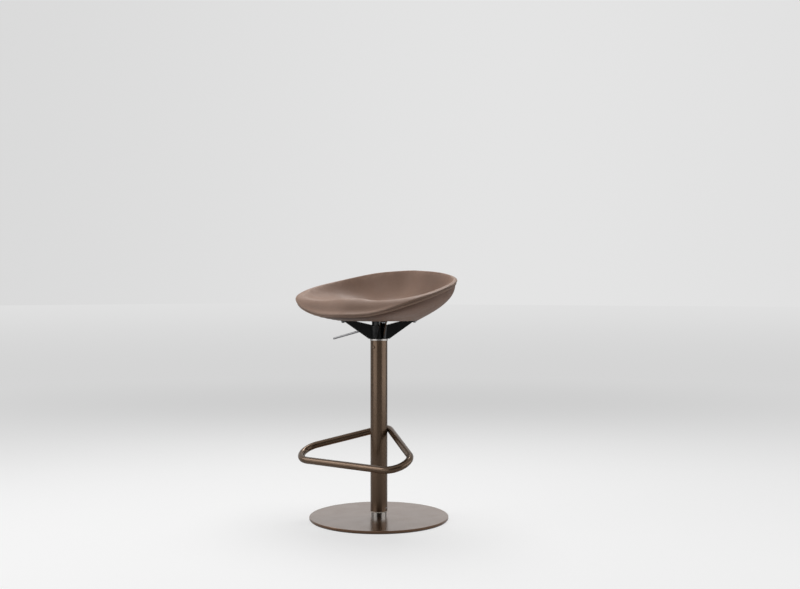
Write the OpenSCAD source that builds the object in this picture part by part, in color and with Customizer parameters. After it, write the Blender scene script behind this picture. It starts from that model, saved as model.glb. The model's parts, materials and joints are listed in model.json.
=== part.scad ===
// Adjustable bar stool: a padded bucket seat on a sleeved gas-lift column, with a bent
// tube footrest, a four-arm seat bracket with a release lever, and a round plate base.
// +Z is up, the floor is z = 0, the column stands on the origin and the sitter faces -Y.
// The stool is drawn at its lowest setting.

/* [Base] */
// Diameter of the plate base
base_d = 450; // [360:1:560]
// Thickness of the plate base
base_t = 8; // [6:0.5:12]
// Thickness of the felt pad under the base
pad_t = 2; // [1:0.5:4]

/* [Column] */
// Outside diameter of the chromed stand tube
tube_d = 50; // [44:0.5:60]
// Wall of the stand tube
tube_wall = 2; // [1.5:0.1:3]
// Height of the stand tube above the base
tube_l = 418; // [360:1:440]
// Bare height of stand tube between the base and the sleeve
sleeve_gap = 16; // [10:1:40]
// Length of the painted sleeve
sleeve_l = 551; // [520:1:660]
// Wall of the sleeve
sleeve_wall = 1.5; // [1.2:0.1:2.5]
// Height that the gas lift raises the seat
lift_travel = 200; // [120:1:210]
// Outside diameter of the gas cylinder
cylinder_d = 28; // [24:0.5:34]
// Diameter of the piston rod
rod_d = 8; // [6:0.5:9]

/* [Bracket] */
// Height of the trim ring on top of the sleeve
ring_t = 6; // [4:0.5:10]
// Height of the bracket's hub
hub_h = 43; // [38:1:54]
// Height from the hub's foot to the seat's underside
bracket_h = 59; // [52:1:72]
// Reach of each arm from the column's axis
arm_reach = 123; // [105:1:147]
// Width of each arm
arm_w = 22; // [18:1:27]
// Thickness of the arm's flanges and web
arm_t = 3; // [2:0.1:4]

/* [Release lever] */
// Diameter of the lever's rod
lever_d = 7; // [5:0.5:7.5]
// Reach of the lever from the column's axis
lever_reach = 192; // [150:1:230]
// Fall of the lever's rod, in degrees
lever_fall = 13.6; // [5:0.1:16]

/* [Footrest] */
// Outside diameter of the footrest's tube
foot_d = 22; // [18:0.5:27]
// Wall of the footrest's tube
foot_wall = 2; // [1.5:0.1:3]
// Reach of the front bar's centreline ahead of the column's axis
foot_reach = 177; // [150:1:215]
// Half length of the straight part of the front bar
foot_bar_half = 152; // [120:1:185]
// Bend radius at the front corners
foot_corner_r = 54; // [44:1:66]
// Bend radius behind the column
foot_back_r = 38; // [34:1:46]
// Height of the front bar's centreline above the floor
foot_h = 196.5; // [160:0.5:235]
// Slope of the loop, rising to the back, in degrees
foot_tilt = 23; // [15:0.5:28]

/* [Seat outline] */
// Reach of the seat's rim to the front
seat_front = 223; // [186:1:265]
// Reach of the rim at the front corners, 45 degrees off the front
seat_front_corner = 254; // [211:1:302]
// Reach of the rim at the sides
seat_side = 276; // [230:1:328]
// Reach of the rim at the back corners
seat_back_corner = 214; // [182:1:255]
// Reach of the rim to the back
seat_back = 182; // [165:1:216]

/* [Seat height] */
// Height of the lip's lower edge over the seat's underside, at the front
lip_front = 13.5; // [11.5:0.5:16]
// The same height at the front corners
lip_front_corner = 31; // [26:0.5:37]
// The same height at the sides
lip_side = 95.5; // [80:0.5:113]
// The same height at the back corners
lip_back_corner = 138.5; // [116:0.5:165]
// The same height at the back
lip_back = 147; // [123:1:175]
// Height of the sewn band, from the lip's edge to the seam
band_h = 10; // [8.5:0.5:12]
// Height of the rim over the seam at the sides and back
brim_h = 6.5; // [5.5:0.5:8]
// Extra height of the rim over the seam at the front
brim_front_h = 42.5; // [35.5:0.5:50.5]
// Height of the bowl's floor over the seat's underside
bowl_h = 48; // [39:1:58]
// Thickness of the moulded shell
shell_t = 6; // [5:0.5:8]
// Thickness of the cover under the shell
cover_t = 2; // [1.5:0.1:3]
// Thickness of the steel plate that the bracket bolts to
plate_t = 6; // [5:0.5:8]

/* [Hidden] */
$fn = 64;

// Clearances and the overrun of cuts
run_fit = 0.05;
fixed_fit = 0.02;
soft_gap = 0.3;
overrun = 1;

// Colours
paint = [0.36, 0.29, 0.24];
leather = [0.45, 0.37, 0.33];
gloss_black = [0.06, 0.06, 0.065];
chrome = [0.82, 0.83, 0.84];
steel = [0.62, 0.63, 0.65];
dark_steel = [0.3, 0.3, 0.32];
nylon = [0.86, 0.85, 0.8];
rubber = [0.12, 0.12, 0.12];
felt = [0.2, 0.2, 0.2];

// Base plate and the flange under the stand tube
base_r = base_d / 2;
base_top = pad_t + base_t;
edge_round = 1.2;
pad_margin = 3;
flange_r = 45;
flange_t = 3;
flange_top = pad_t + flange_t;
flange_bolt_r = 35;
flange_bolts = 4;
flange_screw_r = 2.5;
flange_head_r = 4.5;
flange_head_t = 1.6;
flange_screw_cover = 1.6;
flange_screw_l = base_t - flange_screw_cover;

// Stand tube and guide bush
tube_r = tube_d / 2;
tube_in_r = tube_r - tube_wall;
tube_top = base_top + tube_l;
bush_l = 48;
bush_rim_t = 2;
bush_rim_step = 0.2;

// Sleeve, its glide and its screws
glide_t = 0.93;
glide_l = 40;
glide_rim_t = 2.8;
glide_rim_step = 0.1;
sleeve_in_r = tube_r + run_fit + glide_t + fixed_fit;
sleeve_r = sleeve_in_r + sleeve_wall;
sleeve_z = base_top + sleeve_gap;
sleeve_top = sleeve_z + sleeve_l;
glide_screws_n = 2;
glide_screw_r = 1.5;
glide_screw_head_r = 2.6;
glide_screw_head_t = 0.9;
glide_screw_rise = 10;
glide_screw_turn = 96;
screw_tip_gap = 0.3;
plug_l = 42;
plug_screw_drop = 21;
plug_screw_r = 2;
plug_screw_head_r = 4.6;
plug_screw_head_t = 2.4;
plug_screw_round = 1.8;
plug_screw_l = 9;

// Thrust bearing and rod foot, inside the bottom of the stand tube
seat_plate_rise = 10;
rod_seat_t = 6;
rod_seat_z = base_top + seat_plate_rise;
rod_seat_top = rod_seat_z + rod_seat_t;
rod_r = rod_d / 2;
groove_depth = 1;
groove_r = rod_r - groove_depth;
clip_t = 1.5;
clip_rim = 3;
clip_r = rod_r + clip_rim;
clip_opening = 70;
washer_t = 2;
washer_rim = 5;
washer_r = rod_r + washer_rim;
rod_end_l = 4;
washer_z = rod_seat_z - washer_t;
clip_z = washer_z - clip_t - fixed_fit;
rod_z = clip_z - rod_end_l;
ball_r = 2;
balls = 10;
ball_circle_step = 5.5;
ball_circle_r = rod_r + ball_circle_step;
race_t = 2.5;
race_rim = 3.5;
race_r = ball_circle_r + race_rim;
ball_z = rod_seat_top + race_t + ball_r;
cage_t = 1.6;
cage_ring_w = 3;
race_top_z = ball_z + ball_r + fixed_fit;
shoulder_z = race_top_z + race_t;
shoulder_step = 4;
shoulder_r = rod_r + shoulder_step;
shoulder_t = 4;
stop_z = shoulder_z + shoulder_t;
stop_l = 21;
stop_rim = 8;
stop_r = rod_r + stop_rim;
stop_gap = 0.1;

// Gas cylinder, piston and valve pin
cylinder_r = cylinder_d / 2;
cylinder_wall = 2;
bore_r = cylinder_r - cylinder_wall;
cylinder_z = stop_z + stop_l + stop_gap;
gland_l = 18;
gland_rise = 0.5;
piston_l = 12;
piston_margin = 17;
piston_z = cylinder_z + gland_rise + gland_l + lift_travel + piston_margin;
piston_pin_step = 1;
piston_pin_r = rod_r - piston_pin_step;
piston_nut_rim = 1.5;
piston_nut_r = rod_r + piston_nut_rim;
piston_nut_l = 6;
cap_l = 20;
valve_r = 3;
valve_tail = 4;
valve_dome = 1;
valve_gap = 0.3;

// Trim ring and four-arm bracket
ring_proud = 1.25;
ring_r = sleeve_r + ring_proud;
ring_chamfer = 0.6;
hub_z = sleeve_top + ring_t;
hub_top = hub_z + hub_h;
hub_foot_inset = 0.5;
hub_foot_r = sleeve_r - hub_foot_inset;
hub_top_proud = 3.5;
hub_top_r = sleeve_r + hub_top_proud;
hub_neck_inset = 4.5;
hub_neck_r = sleeve_r - hub_neck_inset;
hub_neck_gap = 1.5;
hub_chamfer = 1;
seat_z = hub_z + bracket_h;
socket_l = 25;
cylinder_top = hub_z + socket_l;
pocket_step = 3;
pocket_r = cylinder_r - pocket_step;
arms = 4;
arm_root_depth = 7;
arm_root_r = hub_foot_r - arm_root_depth;
arm_heel_proud = 8.5;
arm_heel_r = sleeve_r + arm_heel_proud;
arm_heel_h = 2;
arm_tab_l = 12;
arm_toe_h = 7;
arm_toe_l = 4;
arm_nose_h = 4;
arm_crest_share = 0.68;
arm_neck_drop = 15;
bolt_inset = 6.5;
bolt_circle_r = arm_reach - bolt_inset;
bolt_r = 3;
bolt_hole_r = 3.2;
bolt_head_r = 5;
bolt_head_t = 3.2;
bolt_head_round = 1.2;
bolt_key_r = 1.8;
bolt_key_l = 1.6;
bolt_washer_r = 6;
bolt_washer_t = 1.2;

// Release lever and the dowel pressed through the hub that it turns on
pivot_x = -20;
pivot_drop = 5.8;
pivot_z = hub_top - pivot_drop;
lever_r = lever_d / 2;
lever_tip = 7;
lever_eye_rim = 2.2;
lever_eye_r = lever_r + lever_eye_rim;
lever_eye_w = 8;
lever_slot_side = 0.6;
lever_slot_w = lever_eye_w + 2 * lever_slot_side;
lever_slot_drop = 13.2;
pin_r = 2;
pin_half_l = sqrt(hub_foot_r * hub_foot_r - pivot_x * pivot_x);

// Footrest loop, worked out in its own sloping plane from the front bar
foot_r = foot_d / 2;
foot_touch_gap = 0.1;
foot_back = sleeve_r + foot_r + foot_touch_gap;
foot_plane_l = (foot_reach + foot_back) / cos(foot_tilt);
foot_back_centre = [0, foot_plane_l - foot_back_r];
foot_corner_centre = [foot_bar_half, foot_corner_r];
foot_line = foot_back_centre - foot_corner_centre;
foot_side_turn = atan2(foot_line[1], foot_line[0])
    - acos((foot_corner_r - foot_back_r) / norm(foot_line));
foot_back_z = foot_h + (foot_reach + foot_back) * tan(foot_tilt);
foot_weld_gap = 0.4;
foot_weld_turn = asin(foot_weld_gap / foot_back_r);
foot_back_steps = 5;
foot_corner_steps = 10;
foot_sides = 18;
weld_w = 20;
weld_h = 16;
weld_reach = 5;

// Seat plate, shell, pad and cover
plate_margin = 5.5;
plate_r = bolt_circle_r + plate_margin;
cover_flat_margin = 4;
cover_flat_r = plate_r + cover_flat_margin;
plate_z = seat_z + cover_t + soft_gap;
shell_z = plate_z + plate_t + soft_gap;
shell_flat_gap = 1;
shell_flat_r = cover_flat_r - cover_t - shell_flat_gap;
cover_hole_gap = 0.6;
cover_hole_r = bolt_r + cover_hole_gap;
seat_radii = [seat_front, seat_front_corner, seat_side, seat_back_corner, seat_back];
lip_heights = [lip_front, lip_front_corner, lip_side, lip_back_corner, lip_back];
rim_wave = 5.8;
lip_wave = 2.8;
crest_inset = 12;
crest_inset_front = 32.5;
roll_share = 0.6;
roll_share_front = 0.3;
lip_inset = 2.3;
lip_inset_front = 17.3;
seam_inset_share = 0.6;
cover_inset = 2;
cover_inset_front = 20;
shell_rim_drop = 3;
shell_side_gap = 1.2;
bowl_power = 2.6;
seat_steps = 48;
bowl_steps = 7;
roll_steps = 3;
wall_steps = 4;

// Value at an angle from the front, passing smoothly through five values given at
// the front, front corner, side, back corner and back
function around(v, t) =
    let (
        ends = (v[0] + v[4]) / 2,
        tilt = (v[0] - v[4]) / 2,
        corners = (v[1] + v[3]) / 2,
        skew = (v[1] - v[3]) / 2 / cos(45),
        even = (ends + v[2]) / 2
    )
    (even + corners) / 2 + (tilt + skew) / 2 * cos(t) + (ends - v[2]) / 2 * cos(2 * t)
    + (tilt - skew) / 2 * cos(3 * t) + (even - corners) / 2 * cos(4 * t);

// Share of the front in a direction: 1 at the front, 0 at the back
function front_share(t) = (1 + cos(t)) / 2;

// Heights and radii of the rim's lines at an angle from the front
function rim_r(t) = around(seat_radii, t) + rim_wave * (cos(6 * t) - cos(2 * t));
function lip_r(t) = rim_r(t) - lip_inset - lip_inset_front * pow(front_share(t), 2);
function lip_z(t) = seat_z + around(lip_heights, t) + lip_wave * (cos(5 * t) - cos(3 * t));
function seam_r(t) = rim_r(t) - seam_inset_share * (rim_r(t) - lip_r(t));
function seam_z(t) = lip_z(t) + band_h;
function crest_z(t) = seam_z(t) + brim_h + brim_front_h * pow(front_share(t), 8);
function crest_r(t) = rim_r(t) - crest_inset - crest_inset_front * pow(front_share(t), 2);
function roll_z(t) =
    seam_z(t) + (crest_z(t) - seam_z(t)) * (roll_share - roll_share_front * pow(front_share(t), 4));
function cover_r(t) = lip_r(t) - cover_inset - cover_inset_front * pow(front_share(t), 4);
function shell_r(t) = cover_r(t) - cover_t - soft_gap;
function shell_rim_z(t) = seam_z(t) - shell_rim_drop;

// Rise of the bowl from its floor to its rim, for a share of the way out
function bowl_rise_share(s, t) =
    front_share(t) * (3 * s * s - 2 * s * s * s) + (1 - front_share(t)) * pow(s, bowl_power);

// Point on a bowl's outer wall, u from 0 at its flat floor to 1 at its edge
function wall(flat_r, flat_z, edge_r, edge_z, u) =
    [flat_r + (edge_r - flat_r) * (1 - pow(1 - u, 2)), flat_z + (edge_z - flat_z) * u];

// Share of the shell's height at which the lip's lower edge lies
function lip_share(t) = (lip_z(t) - shell_z) / (shell_rim_z(t) - shell_z);
function shell_out(t, u) = wall(shell_flat_r, shell_z, shell_r(t), shell_rim_z(t), u);
function shell_in(t, u) =
    wall(shell_flat_r - shell_t, shell_z + shell_t, shell_r(t) - shell_t, shell_rim_z(t), u);

// Steps from a to b, both included
function steps(a, b, n) = [for (k = [0 : n]) a + (b - a) * k / n];

// Section of the moulded shell: up the outside, over the rim and down the inside
function shell_section(t) = concat(
    [for (u = steps(0, lip_share(t), wall_steps)) shell_out(t, u)],
    [for (k = [1 : wall_steps]) shell_out(t, lip_share(t) + (1 - lip_share(t)) * k / wall_steps)],
    [for (k = [0 : bowl_steps]) shell_in(t, 1 - k / bowl_steps)]);

// Section of the pad: inside the shell, over its rim, round the lip and over the bowl
function pad_section(t) = concat(
    [for (k = [0 : bowl_steps]) shell_in(t, k / bowl_steps) + [-soft_gap, soft_gap]],
    [shell_out(t, 1) + [shell_side_gap, soft_gap]],
    [for (k = [1 : wall_steps]) shell_out(t, 1 - (1 - lip_share(t)) * k / wall_steps)
        + [shell_side_gap, -soft_gap / 2]],
    [[lip_r(t), lip_z(t)], [seam_r(t), seam_z(t)]],
    [for (k = [0 : roll_steps]) [
        crest_r(t) + (rim_r(t) - crest_r(t)) * cos(90 * k / roll_steps),
        roll_z(t) + (crest_z(t) - roll_z(t)) * sin(90 * k / roll_steps)]],
    [for (k = [1 : bowl_steps - 1]) let (s = 1 - k / bowl_steps)
        [crest_r(t) * s, seat_z + bowl_h + (crest_z(t) - seat_z - bowl_h) * bowl_rise_share(s, t)]]);

// Section of the under cover: up the outside and down the inside
function cover_section(t) = concat(
    [for (k = [0 : bowl_steps]) wall(cover_flat_r, seat_z, cover_r(t), lip_z(t) - soft_gap, k / bowl_steps)],
    [for (k = [0 : bowl_steps]) wall(cover_flat_r - cover_t, seat_z + cover_t,
        cover_r(t) - cover_t, lip_z(t) - soft_gap, 1 - k / bowl_steps)]);

// Closed body through sections that run from the lower axis point to the upper one.
// A body whose sections run against its neighbour's is crossed, so that their facets
// are halved along the same diagonals and lie parallel.
module lofted(sections, low_z, high_z, crossed = false) {
    n = len(sections);
    m = len(sections[0]);
    pts = concat(
        [for (i = [0 : n - 1]) let (t = 360 * i / n)
            for (p = sections[i]) [p[0] * sin(t), -p[0] * cos(t), p[1]]],
        [[0, 0, low_z], [0, 0, high_z]]);
    sides = [for (i = [0 : n - 1]) for (k = [0 : m - 2])
        let (a = i * m + k, b = a + 1, c = (i + 1) % n * m + k + 1, d = c - 1)
        each (crossed ? [[a, b, d], [b, c, d]] : [[a, b, c], [a, c, d]])];
    lows = [for (i = [0 : n - 1]) [n * m, i * m, (i + 1) % n * m]];
    highs = [for (i = [0 : n - 1]) [n * m + 1, (i + 1) % n * m + m - 1, i * m + m - 1]];
    polyhedron(pts, concat(sides, lows, highs));
}

// Seat directions, from the front round and back to it
directions = [for (i = [0 : seat_steps - 1]) 360 * i / seat_steps];

// Plain ring between two radii
module ring(r_in, r_out, z, h) {
    translate([0, 0, z])
        difference() {
            cylinder(r = r_out, h = h);
            translate([0, 0, -overrun]) cylinder(r = r_in, h = h + 2 * overrun);
        }
}

module floor_pad() {
    color(felt) cylinder(r = base_r - pad_margin, h = pad_t, $fn = 96);
}

module base_disc() {
    color(paint)
        difference() {
            rotate_extrude($fn = 128)
                polygon([[tube_r + fixed_fit, pad_t], [base_r - edge_round, pad_t],
                    [base_r, pad_t + edge_round], [base_r, base_top - edge_round],
                    [base_r - edge_round, base_top], [tube_r + fixed_fit, base_top]]);
            translate([0, 0, pad_t - overrun])
                cylinder(r = flange_r + fixed_fit, h = flange_t + overrun);
            for (i = [0 : flange_bolts - 1])
                rotate(45 + i * 360 / flange_bolts)
                    translate([flange_bolt_r, 0, pad_t - overrun])
                        cylinder(r = flange_screw_r + fixed_fit,
                            h = overrun + flange_screw_l + screw_tip_gap);
        }
}

module tube_flange() {
    color(steel)
        difference() {
            translate([0, 0, pad_t]) cylinder(r = flange_r, h = flange_t);
            for (i = [0 : flange_bolts - 1])
                rotate(45 + i * 360 / flange_bolts)
                    translate([flange_bolt_r, 0, pad_t - overrun]) {
                        cylinder(r = flange_screw_r + fixed_fit, h = flange_t + 2 * overrun);
                        cylinder(r = flange_head_r + fixed_fit, h = flange_head_t + overrun);
                    }
        }
}

module flange_screws() {
    color(dark_steel)
        for (i = [0 : flange_bolts - 1])
            rotate(45 + i * 360 / flange_bolts)
                translate([flange_bolt_r, 0, pad_t]) {
                    cylinder(r = flange_head_r, h = flange_head_t);
                    cylinder(r = flange_screw_r, h = flange_screw_l);
                }
}

module stand_tube() {
    color(chrome) ring(tube_in_r, tube_r, flange_top, tube_top - flange_top);
}

module rod_seat() {
    color(steel) ring(rod_r + run_fit, tube_in_r - fixed_fit, rod_seat_z, rod_seat_t);
}

module lower_race() {
    color(steel) ring(rod_r + soft_gap, race_r, rod_seat_top, race_t - fixed_fit);
}

module guide_bush() {
    color(nylon) {
        ring(cylinder_r + run_fit, tube_in_r - fixed_fit, tube_top - bush_l, bush_l);
        ring(cylinder_r + run_fit, tube_r - bush_rim_step, tube_top, bush_rim_t);
    }
}

module piston_rod() {
    color(chrome)
        rotate_extrude()
            polygon([[0, rod_z], [rod_r, rod_z], [rod_r, clip_z], [groove_r, clip_z],
                [groove_r, washer_z], [rod_r, washer_z], [rod_r, shoulder_z], [shoulder_r, shoulder_z],
                [shoulder_r, stop_z], [rod_r, stop_z], [rod_r, piston_z], [piston_pin_r, piston_z],
                [piston_pin_r, piston_z + piston_l + piston_nut_l], [0, piston_z + piston_l + piston_nut_l]]);
}

module rod_washer() {
    color(steel) ring(rod_r + run_fit, washer_r, washer_z, washer_t - run_fit);
}

module rod_clip() {
    color(dark_steel)
        translate([0, 0, clip_z + fixed_fit / 2])
            rotate(clip_opening / 2)
                rotate_extrude(angle = 360 - clip_opening)
                    translate([groove_r + fixed_fit, 0]) square([clip_r - groove_r, clip_t]);
}

module ball_cage() {
    color(nylon)
        difference() {
            ring(ball_circle_r - cage_ring_w, ball_circle_r + cage_ring_w, ball_z - cage_t / 2, cage_t);
            for (i = [0 : balls - 1])
                rotate(i * 360 / balls)
                    translate([ball_circle_r, 0, ball_z - cage_t])
                        cylinder(r = ball_r + run_fit, h = 2 * cage_t, $fn = 32);
        }
}

module bearing_balls() {
    color(chrome)
        for (i = [0 : balls - 1])
            rotate(i * 360 / balls) translate([ball_circle_r, 0, ball_z]) sphere(r = ball_r, $fn = 32);
}

module upper_race() {
    color(steel) ring(rod_r + fixed_fit, race_r, race_top_z, race_t);
}

module bump_stop() {
    color(rubber) ring(rod_r + fixed_fit, stop_r, stop_z, stop_l);
}

module piston() {
    color(steel) ring(piston_pin_r + fixed_fit, bore_r - run_fit, piston_z, piston_l);
}

module piston_nut() {
    color(dark_steel)
        difference() {
            translate([0, 0, piston_z + piston_l])
                cylinder(r = piston_nut_r / cos(30), h = piston_nut_l, $fn = 6);
            translate([0, 0, piston_z])
                cylinder(r = piston_pin_r + fixed_fit, h = piston_l + piston_nut_l + overrun);
        }
}

module gas_cylinder() {
    color(dark_steel)
        difference() {
            translate([0, 0, cylinder_z]) cylinder(r = cylinder_r, h = cylinder_top - fixed_fit - cylinder_z);
            translate([0, 0, cylinder_z - overrun])
                cylinder(r = bore_r, h = cylinder_top - cap_l - cylinder_z + overrun);
            translate([0, 0, cylinder_z])
                cylinder(r = valve_r + run_fit, h = cylinder_top - cylinder_z + overrun);
        }
}

module cylinder_gland() {
    color(rubber) ring(rod_r + run_fit, bore_r - fixed_fit, cylinder_z + gland_rise, gland_l);
}

module column_sleeve() {
    color(paint)
        difference() {
            ring(sleeve_in_r, sleeve_r, sleeve_z, sleeve_l);
            for (i = [0 : glide_screws_n - 1])
                rotate(glide_screw_turn + i * 360 / glide_screws_n)
                    translate([0, -tube_r, sleeve_z + glide_screw_rise])
                        rotate([90, 0, 0]) cylinder(r = glide_screw_r + run_fit, h = sleeve_r);
            translate([0, -tube_r, sleeve_top - plug_screw_drop])
                rotate([90, 0, 0]) cylinder(r = plug_screw_r + run_fit, h = sleeve_r);
        }
}

module sleeve_glide() {
    color(nylon)
        difference() {
            union() {
                ring(tube_r + run_fit, sleeve_in_r - fixed_fit, sleeve_z - fixed_fit, glide_l);
                ring(tube_r + run_fit, sleeve_r - glide_rim_step,
                    sleeve_z - glide_rim_t, glide_rim_t - fixed_fit);
            }
            for (i = [0 : glide_screws_n - 1])
                rotate(glide_screw_turn + i * 360 / glide_screws_n)
                    translate([0, 0, sleeve_z + glide_screw_rise])
                        rotate([90, 0, 0]) cylinder(r = glide_screw_r + run_fit, h = sleeve_r);
        }
}

module glide_screws() {
    color(chrome)
        for (i = [0 : glide_screws_n - 1])
            rotate(glide_screw_turn + i * 360 / glide_screws_n)
                translate([0, 0, sleeve_z + glide_screw_rise])
                    rotate([90, 0, 0]) {
                        translate([0, 0, tube_r + screw_tip_gap])
                            cylinder(r = glide_screw_r, h = sleeve_r - tube_r - screw_tip_gap);
                        translate([0, 0, sleeve_r])
                            cylinder(r1 = glide_screw_head_r, r2 = glide_screw_r, h = glide_screw_head_t);
                    }
}

module sleeve_plug() {
    color(steel)
        difference() {
            ring(cylinder_r + fixed_fit, sleeve_in_r - fixed_fit, sleeve_top - plug_l, plug_l);
            translate([0, plug_screw_l + screw_tip_gap - sleeve_r, sleeve_top - plug_screw_drop])
                rotate([90, 0, 0]) cylinder(r = plug_screw_r + fixed_fit, h = sleeve_r);
        }
}

module plug_screw() {
    color(steel)
        translate([0, 0, sleeve_top - plug_screw_drop])
            rotate([90, 0, 0]) {
                translate([0, 0, sleeve_r - plug_screw_l]) cylinder(r = plug_screw_r, h = plug_screw_l);
                translate([0, 0, sleeve_r])
                    rotate_extrude()
                        polygon(concat([[0, 0], [plug_screw_head_r, 0]],
                            [for (a = steps(0, 90, 5))
                                [plug_screw_head_r - plug_screw_round * (1 - cos(a)),
                                    plug_screw_head_t - plug_screw_round * (1 - sin(a))]],
                            [[0, plug_screw_head_t]]));
            }
}

module trim_ring() {
    color(chrome)
        rotate_extrude()
            polygon([[cylinder_r + fixed_fit, sleeve_top], [ring_r - ring_chamfer, sleeve_top],
                [ring_r, sleeve_top + ring_chamfer], [ring_r, hub_z - ring_chamfer],
                [ring_r - ring_chamfer, hub_z], [cylinder_r + fixed_fit, hub_z]]);
}

// Places something at each arm's bolt, with the bolt's axis upright
module at_bolts() {
    for (i = [0 : arms - 1])
        rotate(45 + i * 360 / arms) translate([bolt_circle_r, 0, 0]) children();
}

// One arm along +X: two flanges under a web whose end is the bolted tab
module arm() {
    crest_x = arm_reach * arm_crest_share;
    flange_x = arm_reach - arm_tab_l;
    neck_z = seat_z - arm_neck_drop;
    for (side = [-1, 1])
        translate([0, side * (arm_w - arm_t) / 2 + arm_t / 2, 0])
            rotate([90, 0, 0])
                linear_extrude(height = arm_t)
                    polygon([[arm_root_r, hub_z], [arm_heel_r - arm_heel_h, hub_z],
                        [arm_heel_r, hub_z + arm_heel_h], [flange_x - arm_toe_l, seat_z - arm_toe_h],
                        [flange_x, seat_z - arm_nose_h], [flange_x, seat_z], [crest_x, seat_z],
                        [arm_root_r, neck_z]]);
    translate([0, arm_w / 2, 0])
        rotate([90, 0, 0])
            linear_extrude(height = arm_w)
                polygon([[arm_root_r, neck_z], [crest_x, seat_z], [arm_reach, seat_z],
                    [arm_reach, seat_z - arm_t], [crest_x + arm_t / 4, seat_z - arm_t],
                    [arm_root_r, neck_z - arm_t]]);
}

module spider_bracket() {
    color(gloss_black)
        difference() {
            union() {
                rotate_extrude()
                    polygon([[0, hub_z], [hub_foot_r - hub_chamfer, hub_z],
                        [hub_foot_r, hub_z + hub_chamfer], [hub_top_r, hub_top - hub_chamfer],
                        [hub_top_r - hub_chamfer, hub_top], [0, hub_top]]);
                translate([0, 0, hub_z]) cylinder(r = hub_neck_r, h = bracket_h - hub_neck_gap);
                for (i = [0 : arms - 1]) rotate(45 + i * 360 / arms) arm();
            }
            translate([0, 0, hub_z - overrun]) cylinder(r = cylinder_r + fixed_fit, h = socket_l + overrun);
            translate([0, 0, hub_z]) cylinder(r = pocket_r, h = bracket_h + overrun);
            translate([-hub_top_r - overrun, -lever_slot_w / 2, hub_top - lever_slot_drop])
                cube([hub_top_r + overrun, lever_slot_w, lever_slot_drop + bracket_h]);
            translate([pivot_x, hub_top_r + overrun, pivot_z])
                rotate([90, 0, 0]) cylinder(r = pin_r + fixed_fit, h = 2 * (hub_top_r + overrun), $fn = 32);
            at_bolts()
                translate([0, 0, seat_z - arm_t - overrun])
                    cylinder(r = bolt_hole_r, h = arm_t + 2 * overrun, $fn = 32);
        }
}

module lever_pin() {
    color(steel)
        translate([pivot_x, pin_half_l, pivot_z])
            rotate([90, 0, 0]) cylinder(r = pin_r, h = 2 * pin_half_l, $fn = 32);
}

// Stations along one half of the loop, from the weld behind the column to the front bar:
// each is a point of the centreline and the direction that points out of the loop
function unit(a) = [cos(a), sin(a)];
foot_half = concat(
    [for (a = steps(90 - foot_weld_turn, foot_side_turn, foot_back_steps))
        [foot_back_centre + foot_back_r * unit(a), a]],
    [for (a = steps(foot_side_turn, -90, foot_corner_steps))
        [foot_corner_centre + foot_corner_r * unit(a), a]]);
foot_stations = concat(foot_half,
    [for (i = [len(foot_half) - 1 : -1 : 0]) let (s = foot_half[i])
        [[-s[0][0], s[0][1]], 180 - s[1]]]);

// Open tube through stations in the XY plane, with a bore
module tube_along(stations, r_out, r_in) {
    n = len(stations);
    m = foot_sides;
    function ring_at(s, r) = [for (k = [0 : m - 1]) let (a = 360 * k / m)
        [s[0][0] + r * cos(a) * cos(s[1]), s[0][1] + r * cos(a) * sin(s[1]), r * sin(a)]];
    pts = [for (s = stations) for (r = [r_out, r_in]) each ring_at(s, r)];
    function at(i, inner, k) = (2 * i + inner) * m + k % m;
    walls = [for (i = [0 : n - 2]) for (k = [0 : m - 1]) each [
        [at(i, 0, k), at(i, 0, k + 1), at(i + 1, 0, k + 1)],
        [at(i, 0, k), at(i + 1, 0, k + 1), at(i + 1, 0, k)],
        [at(i, 1, k), at(i + 1, 1, k + 1), at(i, 1, k + 1)],
        [at(i, 1, k), at(i + 1, 1, k), at(i + 1, 1, k + 1)]]];
    ends = [for (k = [0 : m - 1]) each [
        [at(0, 0, k), at(0, 1, k), at(0, 1, k + 1)],
        [at(0, 0, k), at(0, 1, k + 1), at(0, 0, k + 1)],
        [at(n - 1, 0, k), at(n - 1, 1, k + 1), at(n - 1, 1, k)],
        [at(n - 1, 0, k), at(n - 1, 0, k + 1), at(n - 1, 1, k + 1)]]];
    polyhedron(pts, concat(walls, ends));
}

// Puts the loop's plane where it belongs: the front bar ahead of the column, the back up
module loop_place() {
    translate([0, -foot_reach, foot_h]) rotate([foot_tilt, 0, 0]) children();
}

module footrest_loop() {
    color(paint)
        loop_place() tube_along(foot_stations, foot_r, foot_r - foot_wall);
}

module footrest_weld() {
    color(paint)
        difference() {
            translate([-weld_w / 2, sleeve_r - weld_reach, foot_back_z - weld_h / 2])
                cube([weld_w, 2 * weld_reach, weld_h]);
            translate([0, 0, foot_back_z - weld_h]) cylinder(r = sleeve_r + fixed_fit, h = 2 * weld_h);
            loop_place()
                translate([0, foot_back_centre[1], 0])
                    rotate_extrude() translate([foot_back_r, 0]) circle(r = foot_r + fixed_fit);
        }
}

module seat_bolts() {
    color(dark_steel)
        at_bolts()
            difference() {
                translate([0, 0, seat_z - arm_t - bolt_washer_t - bolt_head_t])
                    rotate_extrude($fn = 32)
                        polygon([[0, 0], [bolt_head_r - bolt_head_round, 0], [bolt_head_r, bolt_head_round],
                            [bolt_head_r, bolt_head_t], [bolt_r, bolt_head_t],
                            [bolt_r, bolt_head_t + bolt_washer_t + arm_t + cover_t + soft_gap + plate_t],
                            [0, bolt_head_t + bolt_washer_t + arm_t + cover_t + soft_gap + plate_t]]);
                translate([0, 0, seat_z - arm_t - bolt_washer_t - bolt_head_t - overrun])
                    cylinder(r = bolt_key_r, h = bolt_key_l + overrun, $fn = 6);
            }
}

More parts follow.
